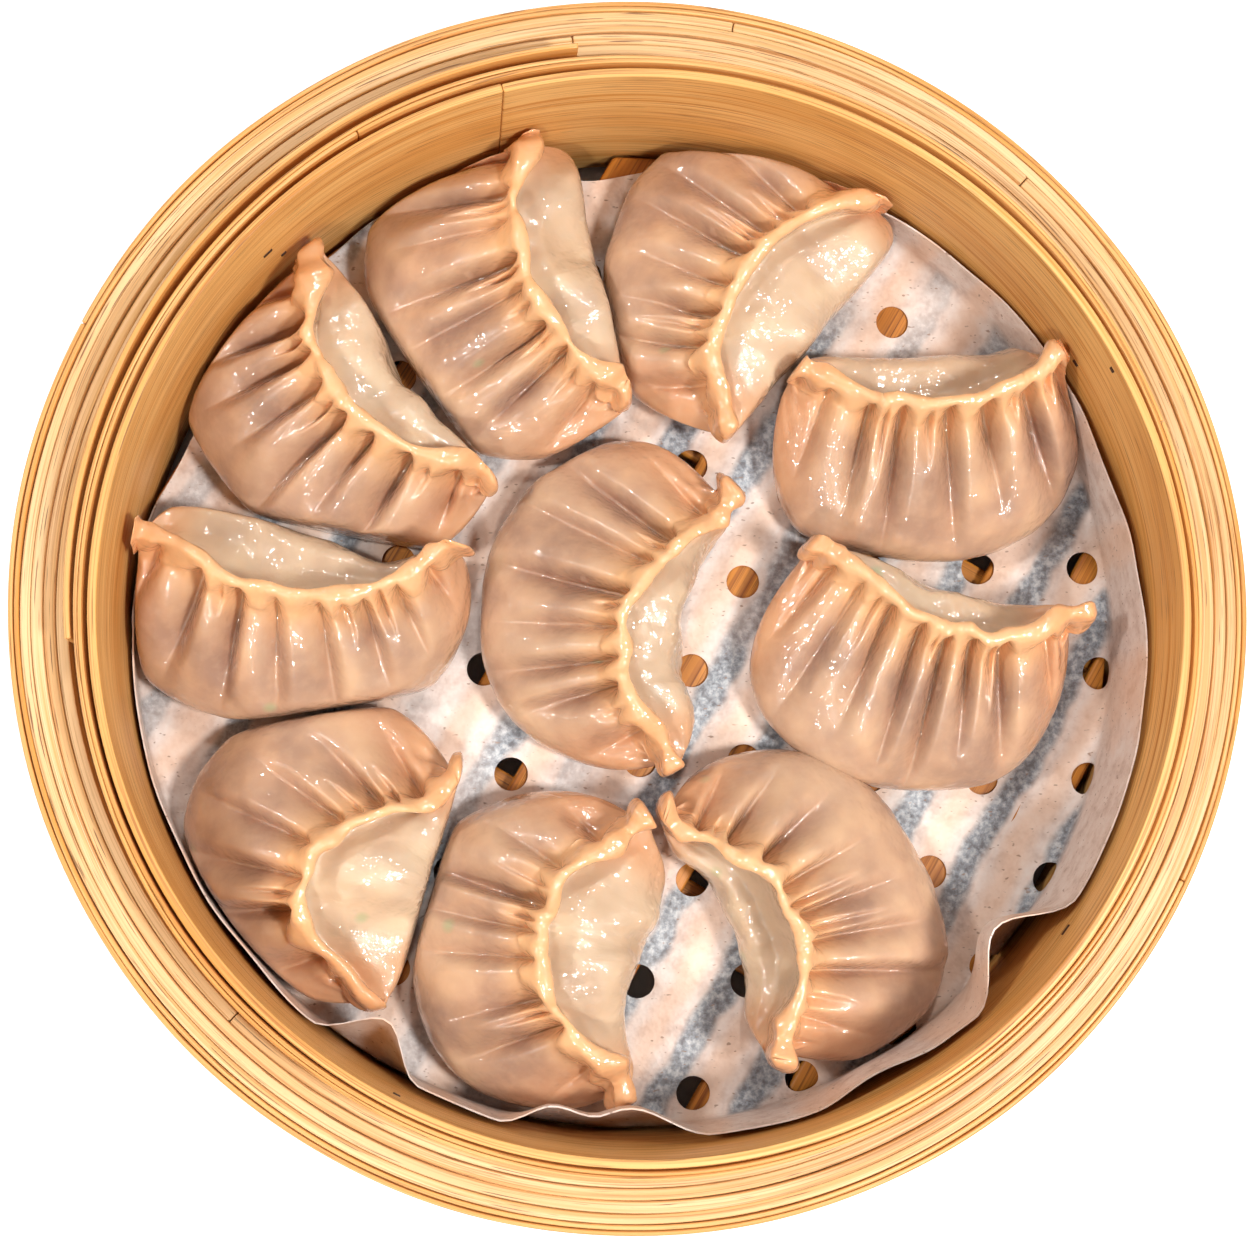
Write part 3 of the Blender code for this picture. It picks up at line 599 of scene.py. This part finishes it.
def add_peg_hole_shades(finish):
    """Painted shade in the holes of the small pegs that pin the wall: dark boxes flush with its inner face.
    """
    build = bmesh.new()
    for azimuth, height, width in PEG_HOLE_SHADES:
        turn = Matrix.Rotation(math.radians(azimuth), 4, "Z")
        size = Matrix.Diagonal((1.2 * MM, width * MM, 1.2 * MM, 1))
        place = Matrix.Translation((WALL_RADIUS + 0.45 * MM, 0, height * MM))
        made = bmesh.ops.create_cube(build, size=1, matrix=turn @ place @ size)["verts"]
        edges = list({edge for corner in made for edge in corner.link_edges})
        bmesh.ops.bevel(build, geom=edges, affect="EDGES", offset=0.15 * MM, offset_type="OFFSET", segments=2,
                        profile=0.5, material=-1)
    bmesh.ops.translate(build, verts=build.verts, vec=WALL_CENTRE)
    mesh = mesh_of(build, "wall_peg_ends")
    mark(mesh, "grain", corners_of(mesh)[:, [2, 0, 1]])
    show("wall_peg_ends", mesh, finish, "bamboo_wall")


def floor_bar(name, node, centre, width, foot, top, turn, finish):
    """A flat bamboo bar across the floor, its ends cut to follow the round wall."""
    build = bmesh.new()
    length = 2 * math.sqrt(FLOOR_REACH**2 - centre**2)
    flat_strip(build, length, (-width / 2, foot), (width / 2, top), SLAT_ROUNDING, 8 * MM)
    mesh = mesh_of(build, name)
    flat = corners_of(mesh)
    side = centre + flat[:, 1]
    reach = np.sqrt(FLOOR_REACH**2 - side**2)
    along = (flat[:, 0] / length * 2 - 1) * reach
    set_corners(mesh, np.stack([
        WALL_CENTRE.x + along * math.cos(turn) - side * math.sin(turn),
        WALL_CENTRE.y + along * math.sin(turn) + side * math.cos(turn), flat[:, 2]], axis=-1))
    mark(mesh, "grain", flat + np.array([random.Random(name).uniform(0, 5), 0, 0]))
    show(name, mesh, finish, "bamboo_slat", node)


def add_floor(finish):
    slat_foot = FLOOR_TOP - SLAT_THICKNESS
    for number in range(-SLATS_EACH_SIDE, SLATS_EACH_SIDE + 1):
        centre = max(-OUTER_SLAT_CENTRE, min(OUTER_SLAT_CENTRE, number * SLAT_PITCH + SLAT_SHIFT))
        label = f"{number + SLATS_EACH_SIDE + 1:02d}"
        floor_bar(f"floor_slat_{label}", f"slat_{label}", centre, SLAT_WIDTH, slat_foot, FLOOR_TOP, SLAT_TURN,
                  finish)
    batten_top = slat_foot - GAP
    for number, centre in enumerate((-BATTEN_OFFSET, BATTEN_OFFSET), 1):
        floor_bar(f"floor_batten_{number}", f"batten_{number}", centre, BATTEN_WIDTH,
                  batten_top - BATTEN_THICKNESS, batten_top, SLAT_TURN + math.pi / 2, finish)


def paper_reach(azimuth):
    """How far the flat sheet reaches from the middle of the wall in the direction of an azimuth."""
    offset = np.array((PAPER_CENTRE - WALL_CENTRE)[:2])
    along = offset[0] * np.cos(np.radians(azimuth)) + offset[1] * np.sin(np.radians(azimuth))
    short = sum(depth * MM * bump(azimuth, middle, half) for middle, half, depth in PAPER_NOTCHES)
    return along + np.sqrt(PAPER_RADIUS**2 - offset @ offset + along**2) - short


def lift_paper(places):
    """Where points of the flat sheet lie once its edge has bent up the wall and folded inwards."""
    across = places[:, :2] - np.array(WALL_CENTRE[:2])
    reach = np.hypot(*across.T) + 1e-9
    azimuth = np.degrees(np.arctan2(across[:, 1], across[:, 0]))
    climb = reach - PAPER_BEND
    angle = np.clip(climb / PAPER_FILLET, 0, math.pi / 2)
    above = np.maximum(0, climb - PAPER_FILLET * math.pi / 2)
    curved = PAPER_BEND + (PAPER_FILLET - places[:, 2]) * np.sin(angle)
    height = PAPER_FILLET - (PAPER_FILLET - places[:, 2]) * np.cos(angle) + above
    lean = sum(depth * MM * bump(azimuth, middle, half) for middle, half, depth in PAPER_FOLDS)
    curved -= lean * np.minimum(above / (PAPER_RADIUS - PAPER_BEND), 1) ** FOLD_CURVE
    slack = np.minimum(above / (12 * MM), 1)
    curved -= slack * PAPER_SLACK * (1 + waver(azimuth, 24, "paper ripples"))
    radius = np.where(climb > 0, curved, reach)
    height = np.where(climb > 0, height, places[:, 2])
    return np.stack([
        WALL_CENTRE.x + across[:, 0] / reach * radius, WALL_CENTRE.y + across[:, 1] / reach * radius,
        PAPER_BASE + height], axis=-1)


def sag_between_slats(places):
    """How far the wet sheet hangs down between two slats."""
    across = -places[:, 0] * math.sin(SLAT_TURN) + places[:, 1] * math.cos(SLAT_TURN)
    centre = -WALL_CENTRE.x * math.sin(SLAT_TURN) + WALL_CENTRE.y * math.cos(SLAT_TURN)
    phase = (across - centre - SLAT_SHIFT) / SLAT_PITCH
    over_gap = ease((-np.cos(math.tau * phase) - 0.1) / 0.9)
    return PAPER_SAG * over_gap * (0.6 + 0.4 * waver(places[:, 0] + places[:, 1], 60 * MM, "sag"))


def hole_punch():
    """One cutter of all the round holes: a middle one and four rings about it."""
    build = bmesh.new()
    places = [HOLES_CENTRE]
    for ring_number, count in enumerate(HOLE_RINGS, 1):
        reach = Vector((HOLE_RING_STEP * ring_number, 0, 0))
        for step in range(count):
            places.append(HOLES_CENTRE + Matrix.Rotation(math.tau * step / count, 3, "Z") @ reach)
    for place in places:
        bmesh.ops.create_cone(
            build, cap_ends=True, segments=HOLE_SIDES, radius1=HOLE_RADIUS, radius2=HOLE_RADIUS,
            depth=PUNCH_LENGTH, matrix=Matrix.Translation(place))
    punch = bpy.data.objects.new("hole_punch", mesh_of(build, "hole_punch"))
    bpy.context.scene.collection.objects.link(punch)
    return punch


def flat_paper():
    """The sheet before it is folded: a fine disc whose rim is uneven."""
    steps = PAPER_FLAT_STEPS + PAPER_WALL_STEPS
    build = bmesh.new()
    spoke = [build.verts.new((step / steps, 0, 0)) for step in range(steps + 1)]
    for inner, outer in zip(spoke, spoke[1:]):
        build.edges.new((inner, outer))
    bmesh.ops.spin(
        build, geom=build.verts[:] + build.edges[:], cent=(0, 0, 0), axis=(0, 0, 1), angle=math.tau,
        steps=PAPER_SPOKES, use_merge=True, use_duplicate=False)
    bmesh.ops.remove_doubles(build, verts=build.verts, dist=1e-5)
    bmesh.ops.recalc_face_normals(build, faces=build.faces)
    mesh = mesh_of(build, "paper_liner_sheet")
    places = corners_of(mesh)
    share = np.hypot(places[:, 0], places[:, 1])
    azimuth = np.degrees(np.arctan2(places[:, 1], places[:, 0]))
    rim = paper_reach(azimuth) + TORN_EDGE * waver(azimuth, 9, "torn edge")
    bend = np.minimum(PAPER_BEND, rim - 2 * MM)
    flat_share = PAPER_FLAT_STEPS / steps
    reach = np.where(
        share <= flat_share, share / flat_share * bend,
        bend + (share - flat_share) / (1 - flat_share) * (rim - bend))
    scale = reach / np.maximum(share, 1e-9)
    set_corners(mesh, np.stack([
        places[:, 0] * scale + WALL_CENTRE.x, places[:, 1] * scale + WALL_CENTRE.y, 0 * share], axis=-1))
    return mesh


def add_liner(finish):
    sheet = bpy.data.objects.new("paper_liner_sheet", flat_paper())
    bpy.context.scene.collection.objects.link(sheet)
    shell = sheet.modifiers.new("Thickness", "SOLIDIFY")
    shell.thickness = PAPER_THICKNESS
    shell.offset = 0
    punched = sheet.modifiers.new("Holes", "BOOLEAN")
    punched.operation = "DIFFERENCE"
    punched.object = hole_punch()
    bpy.context.view_layer.update()
    mesh = bpy.data.meshes.new_from_object(sheet.evaluated_get(bpy.context.evaluated_depsgraph_get()))
    bpy.data.objects.remove(punched.object)
    bpy.data.objects.remove(sheet)
    flat = corners_of(mesh)
    flat[:, 2] += PAPER_THICKNESS / 2
    lifted = lift_paper(flat)
    reach = np.hypot(*(flat[:, :2] - np.array(WALL_CENTRE[:2])).T)
    lying = 1 - ease((reach - PAPER_BEND + 10 * MM) / (10 * MM))
    lifted[:, 2] -= sag_between_slats(flat) * lying
    set_corners(mesh, lifted)
    mesh.materials.clear()
    return show("paper_liner_sheet", mesh, finish, "paper", "paper_liner", smooth=60)


def pleat_widths(dumpling):
    """Shares along the seam, from -1 to 1, where the creases between the uneven pleats start."""
    draw = random.Random(dumpling.name)
    widths = [0.8] + [draw.uniform(0.75, 1.25) for _ in range(dumpling.pleats - 2)] + [0.8]
    marks = np.concatenate([[0], np.cumsum(widths)])
    return marks / marks[-1] * 2 - 1


def crease(dumpling, phase):
    """How deep the nearest crease is, 0 on a ridge and 1 at the bottom of the deepest one."""
    draw = random.Random(dumpling.name + " creases")
    depths = np.array([draw.uniform(0.7, 1.1) for _ in range(dumpling.pleats)])
    nearest = np.clip(np.round(phase), 1, dumpling.pleats - 1).astype(int)
    away = np.minimum(np.abs(phase - nearest), 0.5)
    return depths[nearest] * (1 - np.sin(math.pi * away) ** CREASE_POWER)


def folds(dumpling, phase, position):
    """How far the gathered folds push the fine dough in, and how deep in a fold each place lies.

    The dough stands in round fingers between the folds. A fold leans over its neighbour, is
    sharp below the seam, and widens and dies away down the belly. Some fingers split in two.
    """
    draw = random.Random(dumpling.name + " folds")
    lap = draw.choice((-1, 1)) * FOLD_LAP
    down = np.clip((position - FOLDS_FROM) / (FOLDS_TO - FOLDS_FROM), 0, 1)
    start = ease((position - FOLDS_FROM) / (FOLDS_DEEP - FOLDS_FROM))
    sharpness = FOLD_ROUND[0] + (FOLD_ROUND[1] - FOLD_ROUND[0]) * down
    middle = dumpling.pleats / 2
    depth = 0 * phase
    for number in range(1, dumpling.pleats):
        lines = [(number, 0.5, draw.uniform(*FOLD_STRENGTH), draw.uniform(*FOLD_REACH))]
        beside = {1: -1, dumpling.pleats - 1: 1}.get(number, draw.choice((-1, 1)))
        if abs(number - middle) > middle - SPLIT_ENDS or draw.random() < SPLIT_CHANCE:
            lines.append((
                number + beside * draw.uniform(*SPLIT_ASIDE), SPLIT_HALF_WIDTH,
                draw.uniform(*SPLIT_STRENGTH), draw.uniform(*SPLIT_REACH)))
        for line, half_width, strength, reach in lines:
            aside = FOLD_SWEEP * (line - middle) / middle + draw.uniform(-FOLD_STRAY, FOLD_STRAY)
            path = line + aside * down**2
            away = phase - path
            away = np.abs(away) / (half_width * np.where(away > 0, 1 + lap, 1 - lap))
            finger = (1 - np.clip(1 - away, 0, 1) ** 2) ** sharpness
            fade = 1 - ease((down / reach - FOLD_FADES) / (1 - FOLD_FADES))
            depth = np.maximum(depth, strength * (1 - finger) * fade * start)
    puff = FOLD_PUFF * start * (1 - ease((down - PUFF_FADES) / (1 - PUFF_FADES)))
    puff *= 1 - np.minimum(depth, 1)
    return FOLD_DEPTH * depth - puff, depth


def section(dumpling, share, belly_power=BELLY_POWER, horn_power=HORN_POWER):
    """Corner points of the cross-section at shares of the way from the middle to a horn (-1 to 1).

    Returns how far out each lies from the seam, and how high, from the tip of the seam down the
    belly, under the base and up the back.
    """
    near_horn = np.abs(share)
    swell = np.sqrt(np.clip(1 - near_horn**belly_power, 0, 1))
    front = dumpling.front * MM * swell * (1 + dumpling.skew * share) + FLANGE_HALF / 2
    taper = np.clip(1 - near_horn**BACK_POWER, 0, 1) ** 0.8
    back = np.maximum(dumpling.back * MM * taper * (1 + dumpling.lean * share), 0) + FLANGE_HALF / 2
    horn = np.where(share < 0, dumpling.horns[0], dumpling.horns[1]) * MM
    top = dumpling.tall * MM - (dumpling.tall * MM - horn) * near_horn**RIDGE_POWER
    rise = ease((near_horn - HORN_FROM) / (1 - HORN_FROM))
    foot = HORN_FOOT * rise
    body = (top - FLANGE - foot) * (1 - HORN_SLIM * rise)
    out = [0 * front, *(part * front for part in BELLY_OUT), *(-part * back for part in BACK_OUT)]
    out[1] += FLANGE_HALF
    out[-1] -= FLANGE_HALF
    heights = [*BELLY_UP, *(up - dumpling.hollow * sink for up, sink in zip(BACK_UP, BACK_SINK))]
    up = np.stack([top, *(foot + part * body for part in heights)])
    close = np.sqrt(np.clip(1 - near_horn**horn_power, 0, 1))
    middle = foot + (top - foot) * HORN_MIDDLE
    return np.stack(out) * close, middle + (up - middle) * close


def smooth_loop(points, position):
    """A closed smooth curve through the corner points, read at positions counted in points."""
    start = np.floor(position).astype(int)
    part = position - start
    column = np.arange(points.shape[1])
    before, here, after, beyond = (
        points[(start + step) % SECTION_POINTS, column] for step in (-1, 0, 1, 2))
    return here + 0.5 * part * (
        after - before + part * (
            2 * before - 5 * here + 4 * after - beyond + part * (3 * (here - after) + beyond - before)))


def skin(dumpling, along, around, fine=False):
    """Places on the dough, for shares along the seam and round the section, both from 0 to 1.

    The fine skin also has the small unevenness that hands leave, and returns marks for the
    finish: how near the seam, how deep in a crease, where the finish paints shade, how far
    behind, and how near a horn.
    """
    phase = along * dumpling.pleats
    share = np.interp(phase, np.arange(dumpling.pleats + 1), pleat_widths(dumpling))
    out_points, up_points = section(dumpling, share, *((BELLY_END, HORN_END) if fine else ()))
    inside = 1 - np.abs(share) ** 8
    if fine:
        wave = SEAM_WAVE * waver(phase, WAVE_PITCH, dumpling.name + " seam") * inside
        out_points[0] += wave - SEAM_LEAN * inside
        out_points[1] += 0.6 * wave
        out_points[-1] += 0.6 * wave
        up_points[8:] += np.outer(BACK_SWELL, 1 - dumpling.hollow + 0 * share) * dumpling.tall * MM * inside
        up_points[0] += SEAM_RIPPLE * waver(phase, RIPPLE_PITCH, dumpling.name + " ripple") * inside
    position = around * SECTION_POINTS
    out = smooth_loop(out_points, position)
    up = smooth_loop(up_points, position)
    step = 0.02
    slope_out = smooth_loop(out_points, position + step) - smooth_loop(out_points, position - step)
    slope_up = smooth_loop(up_points, position + step) - smooth_loop(up_points, position - step)
    length = np.hypot(slope_out, slope_up) + 1e-9
    from_seam = np.minimum(position, SECTION_POINTS - position)
    horn = ease((np.abs(share) - HORNS_BEGIN) / HORNS_RISE)
    if fine:
        inward, depth = folds(dumpling, phase, position)
        lumps, swells, dimples, crinkles = (
            np.array([noise.noise(Vector((a * 7 * MM / pitch, g * 6 * MM / pitch, dumpling.x + pitch / MM)))
                      for a, g in zip(phase, position)])
            for pitch in (LUMP_PITCH, BACK_LUMP_PITCH, DIMPLE_PITCH, CRINKLE_PITCH))
        inward = inward * inside - (LUMP * lumps + DIMPLE * dimples) * ease(from_seam / 1.5) * inside
        pillow = np.exp(-(((position - PUFF_MIDDLE) / PUFF_WIDTH) ** 2))
        inward -= (BACK_PUFF + BACK_LUMP * swells) * (1 - 0.8 * dumpling.hollow) * pillow * inside
        close = np.sqrt(np.clip(1 - np.abs(share) ** HORN_END, 0, 1))
        signed = np.where(position < SECTION_POINTS / 2, from_seam, -from_seam)
        half_width = SEAM_HALF_WIDTH[0] + (SEAM_HALF_WIDTH[1] - SEAM_HALF_WIDTH[0]) * horn
        crest = np.exp(-(((signed - SEAM_MIDDLE) / half_width) ** 2)) * close
        thick = SEAM_PUFF[0] + (SEAM_PUFF[1] - SEAM_PUFF[0]) * horn
        thick = thick * (1 + SEAM_UNEVEN * waver(phase, THICK_PITCH, dumpling.name + " thick"))
        thick *= 1 - EAR_NECK * np.exp(-(((np.abs(share) - NECK_MIDDLE) / NECK_WIDTH) ** 2))
        inward -= (thick + CRINKLE * crinkles * (CRINKLE_SHARE + (1 - CRINKLE_SHARE) * horn)) * crest
    else:
        pleated = ease((position - PLEATS_BEGIN) / (PLEATS_WHOLE - PLEATS_BEGIN))
        pleated *= 1 - ease((position - PLEATS_FADE) / (PLEATS_END - PLEATS_FADE))
        inward = PLEAT_DEPTH * pleated * (crease(dumpling, phase) - RIDGE_SHARE) * inside
    out = out + inward * slope_up / length
    up = np.maximum(up - inward * slope_out / length, 0)

    fan = math.radians(dumpling.fan)
    turn = share * fan
    across = np.sin(turn) / math.sin(fan)
    curl = np.where(share < 0, dumpling.curl[0], dumpling.curl[1])
    turn = np.where(out < 0, BACK_FAN, 1) * turn
    side = dumpling.half * MM * across + np.sin(turn) * out
    if fine:
        draw = random.Random(dumpling.name + " ears")
        ears = np.where(share < 0, draw.uniform(*EAR), draw.uniform(*EAR))
        grown = ears * ease((np.abs(share) - EAR_FROM) / (1 - EAR_FROM)) * (1 - ease((from_seam - 0.9) / 1.4))
        side += np.sign(share) * grown
        up = up + 0.5 * grown
    ahead = dumpling.bow * MM * (1 - np.abs(across) ** curl) + np.cos(turn) * out
    heading = math.radians(dumpling.heading)
    places = np.stack([
        dumpling.x * MM - math.sin(heading) * side + math.cos(heading) * ahead,
        dumpling.y * MM + math.cos(heading) * side + math.sin(heading) * ahead,
        DUMPLING_REST + up], axis=-1)
    if not fine:
        return places
    seam = np.where(
        position < SECTION_POINTS / 2, 1 - ease((from_seam - 0.6) / 1.5), 1 - ease((from_seam - 0.35) / 0.8))
    behind = ease((position - 7.5) / 1.5) * (1 - ease((position - 13.2) / 0.5))
    return places, np.stack([seam, np.clip(depth, 0, 1), behind], axis=-1), horn


def ball_shares(places, around_steps, along_steps):
    """For the corners of a ball with its poles at the horns: their shares along and around."""
    away = places / np.linalg.norm(places, axis=1, keepdims=True)
    along = np.round(np.arccos(np.clip(away[:, 2], -1, 1)) / math.pi * along_steps) / along_steps
    turn = -np.arctan2(away[:, 1], away[:, 0]) / math.tau
    return along, np.round(turn * around_steps) / around_steps % 1


def dumpling_ball(name, around_steps, along_steps):
    build = bmesh.new()
    bmesh.ops.create_uvsphere(build, u_segments=around_steps, v_segments=along_steps, radius=1)
    return mesh_of(build, name)


def parting_planes():
    """For each dumpling, the upright planes that part it from its neighbours.

    Of all directions the plane takes the one along which the two overlap least, and lies half
    way between them. Each plane is a direction out of the dumpling and how far out it lies.
    """
    places = {}
    for dumpling in DUMPLINGS:
        ball = dumpling_ball("plain", SECTION_POINTS, 2 * dumpling.pleats)
        shares = ball_shares(corners_of(ball), SECTION_POINTS, 2 * dumpling.pleats)
        places[dumpling.name] = skin(dumpling, *shares)[:, :2]
        bpy.data.meshes.remove(ball)
    planes = {dumpling.name: [] for dumpling in DUMPLINGS}
    turns = np.arange(PARTING_ANGLES) * math.tau / PARTING_ANGLES
    directions = np.stack([np.cos(turns), np.sin(turns)], axis=-1)
    for number, first in enumerate(DUMPLINGS):
        for second in DUMPLINGS[number + 1:]:
            if math.hypot(first.x - second.x, first.y - second.y) * MM > PARTING_REACH:
                continue
            reach = (places[first.name] @ directions.T).max(axis=0)
            start = (places[second.name] @ directions.T).min(axis=0)
            best = int(np.argmin(reach - start))
            offset = (reach[best] + start[best]) / 2
            planes[first.name].append((directions[best], offset))
            planes[second.name].append((-directions[best], -offset))
    return planes


def press_back(distance):
    """Moves what would pass a surface to just short of it, and eases what comes near."""
    room = PARTING_SOFTNESS - GAP / 2
    eased = -GAP / 2 - room * np.exp(-(distance + PARTING_SOFTNESS) / room)
    return np.where(distance > -PARTING_SOFTNESS, eased, distance)


def settle(places, planes):
    """Presses a dumpling against its neighbours and the wall, as they steam side by side."""
    for direction, offset in planes:
        distance = places[:, :2] @ direction - offset
        places[:, :2] += (press_back(distance) - distance)[:, None] * direction
    across = places[:, :2] - np.array(WALL_CENTRE[:2])
    radius = np.hypot(*across.T)
    azimuth = np.degrees(np.arctan2(across[:, 1], across[:, 0]))
    papered = ease((paper_reach(azimuth) - PAPER_BEND) / (2 * MM))
    below = np.clip(PAPER_BASE + PAPER_FILLET + PAPER_CLEARANCE - places[:, 2], 0, PAPER_FILLET)
    corner = PAPER_FILLET - np.sqrt(PAPER_FILLET**2 - below**2)
    limit = WALL_RADIUS - WALL_CLEARANCE - papered * (PAPER_ROOM + corner)
    pressed = limit + press_back(radius - limit)
    places[:, :2] += across * (pressed / radius - 1)[:, None]
    return places


def add_dumplings(finish):
    planes = parting_planes()
    balls = {}
    for dumpling in DUMPLINGS:
        name = f"crescent_dumpling_{dumpling.name}"
        along_steps = STEPS_A_PLEAT * dumpling.pleats
        if along_steps not in balls:
            balls[along_steps] = dumpling_ball("fine_ball", AROUND_STEPS, along_steps)
        mesh = balls[along_steps].copy()
        mesh.name = name
        shares = ball_shares(corners_of(mesh), AROUND_STEPS, along_steps)
        places, marks, horn = skin(dumpling, *shares, fine=True)
        set_corners(mesh, settle(places, planes[dumpling.name]))
        mark(mesh, "dough", marks)
        mark(mesh, "horn", horn)
        show(name, mesh, finish, "dough", f"dumpling_{dumpling.name}", smooth=180)


def add_camera():
    """Looks down on the basket from a little to its lower left, as the photo does."""
    camera = bpy.data.objects.new("camera", bpy.data.cameras.new("camera"))
    bpy.context.scene.collection.objects.link(camera)
    ahead = Vector((math.sin(CAMERA_TILT[0]), math.sin(CAMERA_TILT[1]), -1)).normalized()
    right = ahead.cross(Vector((0, 1, 0))).normalized()
    up = right.cross(ahead)
    turned = Matrix((right, up, -ahead)).transposed().to_4x4()
    camera.matrix_world = Matrix.Translation(CAMERA_PLACE) @ turned
    camera.data.sensor_width = 36
    camera.data.lens = 36 * FOCAL_LENGTH / PHOTO_WIDTH
    camera.data.clip_start = 0.01
    bpy.context.scene.camera = camera


def add_studio():
    """A soft box to the lower right, small ones for the wet skin, and a white floor.

    The floor glows a little, so it stays white, but not under the basket.
    """
    build = bmesh.new()
    bmesh.ops.create_grid(build, x_segments=2, y_segments=2, size=3)
    mesh = mesh_of(build, "studio_floor")
    finish, nodes, shader = new_finish("matt_white_floor")
    shader.inputs["Base Color"].default_value = (0.9, 0.9, 0.9, 1)
    shader.inputs["Roughness"].default_value = 0.9
    shader.inputs["Emission Color"].default_value = (1, 1, 1, 1)
    reach = add(nodes, "ShaderNodeVectorMath", {
        0: add(nodes, "ShaderNodeTexCoord").outputs["Object"]}, operation="LENGTH").outputs["Value"]
    lit = add(nodes, "ShaderNodeMapRange", {
        "Value": reach, "From Min": GLOW_FROM, "From Max": GLOW_WHOLE, "To Max": GLOW}).outputs[0]
    nodes.id_data.links.new(lit, shader.inputs["Emission Strength"])
    mesh.materials.append(finish)
    floor = bpy.data.objects.new("studio_floor", mesh)
    bpy.context.scene.collection.objects.link(floor)

    for name, azimuth, height, size, power in LAMPS:
        light = bpy.data.lights.new(name, "AREA")
        light.shape = "DISK"
        light.size = size
        light.energy = power
        light.color = LAMP_COLOUR
        lamp = bpy.data.objects.new(name, light)
        bpy.context.scene.collection.objects.link(lamp)
        turn, rise = math.radians(azimuth), math.radians(height)
        away = Vector((math.cos(turn) * math.cos(rise), math.sin(turn) * math.cos(rise), math.sin(rise)))
        lamp.location = away * LAMP_DISTANCE
        lamp.rotation_euler = (-away).to_track_quat("-Z", "Y").to_euler()

    world = bpy.data.worlds.new("white_surround")
    bpy.context.scene.world = world
    world.use_nodes = True
    surround = world.node_tree.nodes["Background"]
    surround.inputs["Color"].default_value = (1, 1, 1, 1)
    surround.inputs["Strength"].default_value = SURROUND_STRENGTH
    bpy.context.scene.view_settings.view_transform = "Standard"


def main():
    # Bamboo's fibres are 0.1 to 0.2 mm wide, too fine to show from here, so they are drawn coarser
    rim_finish = split_bamboo(
        "planed_bamboo_edge", pale="#ECC390", warm="#D8A668", dark="#A96B33", line="#5E2E0E", roughness=0.5,
        fibre=0.3 * MM, lines=0.75)
    band_finish = split_bamboo(
        "bamboo_band_skin", pale="#E3AE6C", warm="#D59346", dark="#B06C2A", line="#69360E", roughness=0.42,
        fibre=0.3 * MM)
    wall_finish = split_bamboo(
        "steamed_bamboo_wall", pale="#EAB66E", warm="#D59345", dark="#98511D", line="#66350E", roughness=0.46,
        fibre=0.36 * MM)
    slat_finish = split_bamboo(
        "darkened_bamboo_slat", pale="#C8812F", warm="#A45F1B", dark="#6E3A0E", line="#3C1D06", roughness=0.5,
        lines=0.5)
    # Painted shade: the peg holes are drawn in near-black bamboo colours.
    peg_hole_shade_finish = split_bamboo(
        "burnt_bamboo_peg", pale="#4A2A12", warm="#33190A", dark="#1E0E06", line="#120804", roughness=0.6)
    add_basket(rim_finish, band_finish, wall_finish)
    add_peg_hole_shades(peg_hole_shade_finish)
    add_floor(slat_finish)
    add_liner(damp_paper())
    add_dumplings(steamed_dough())
    add_camera()
    add_studio()


main()
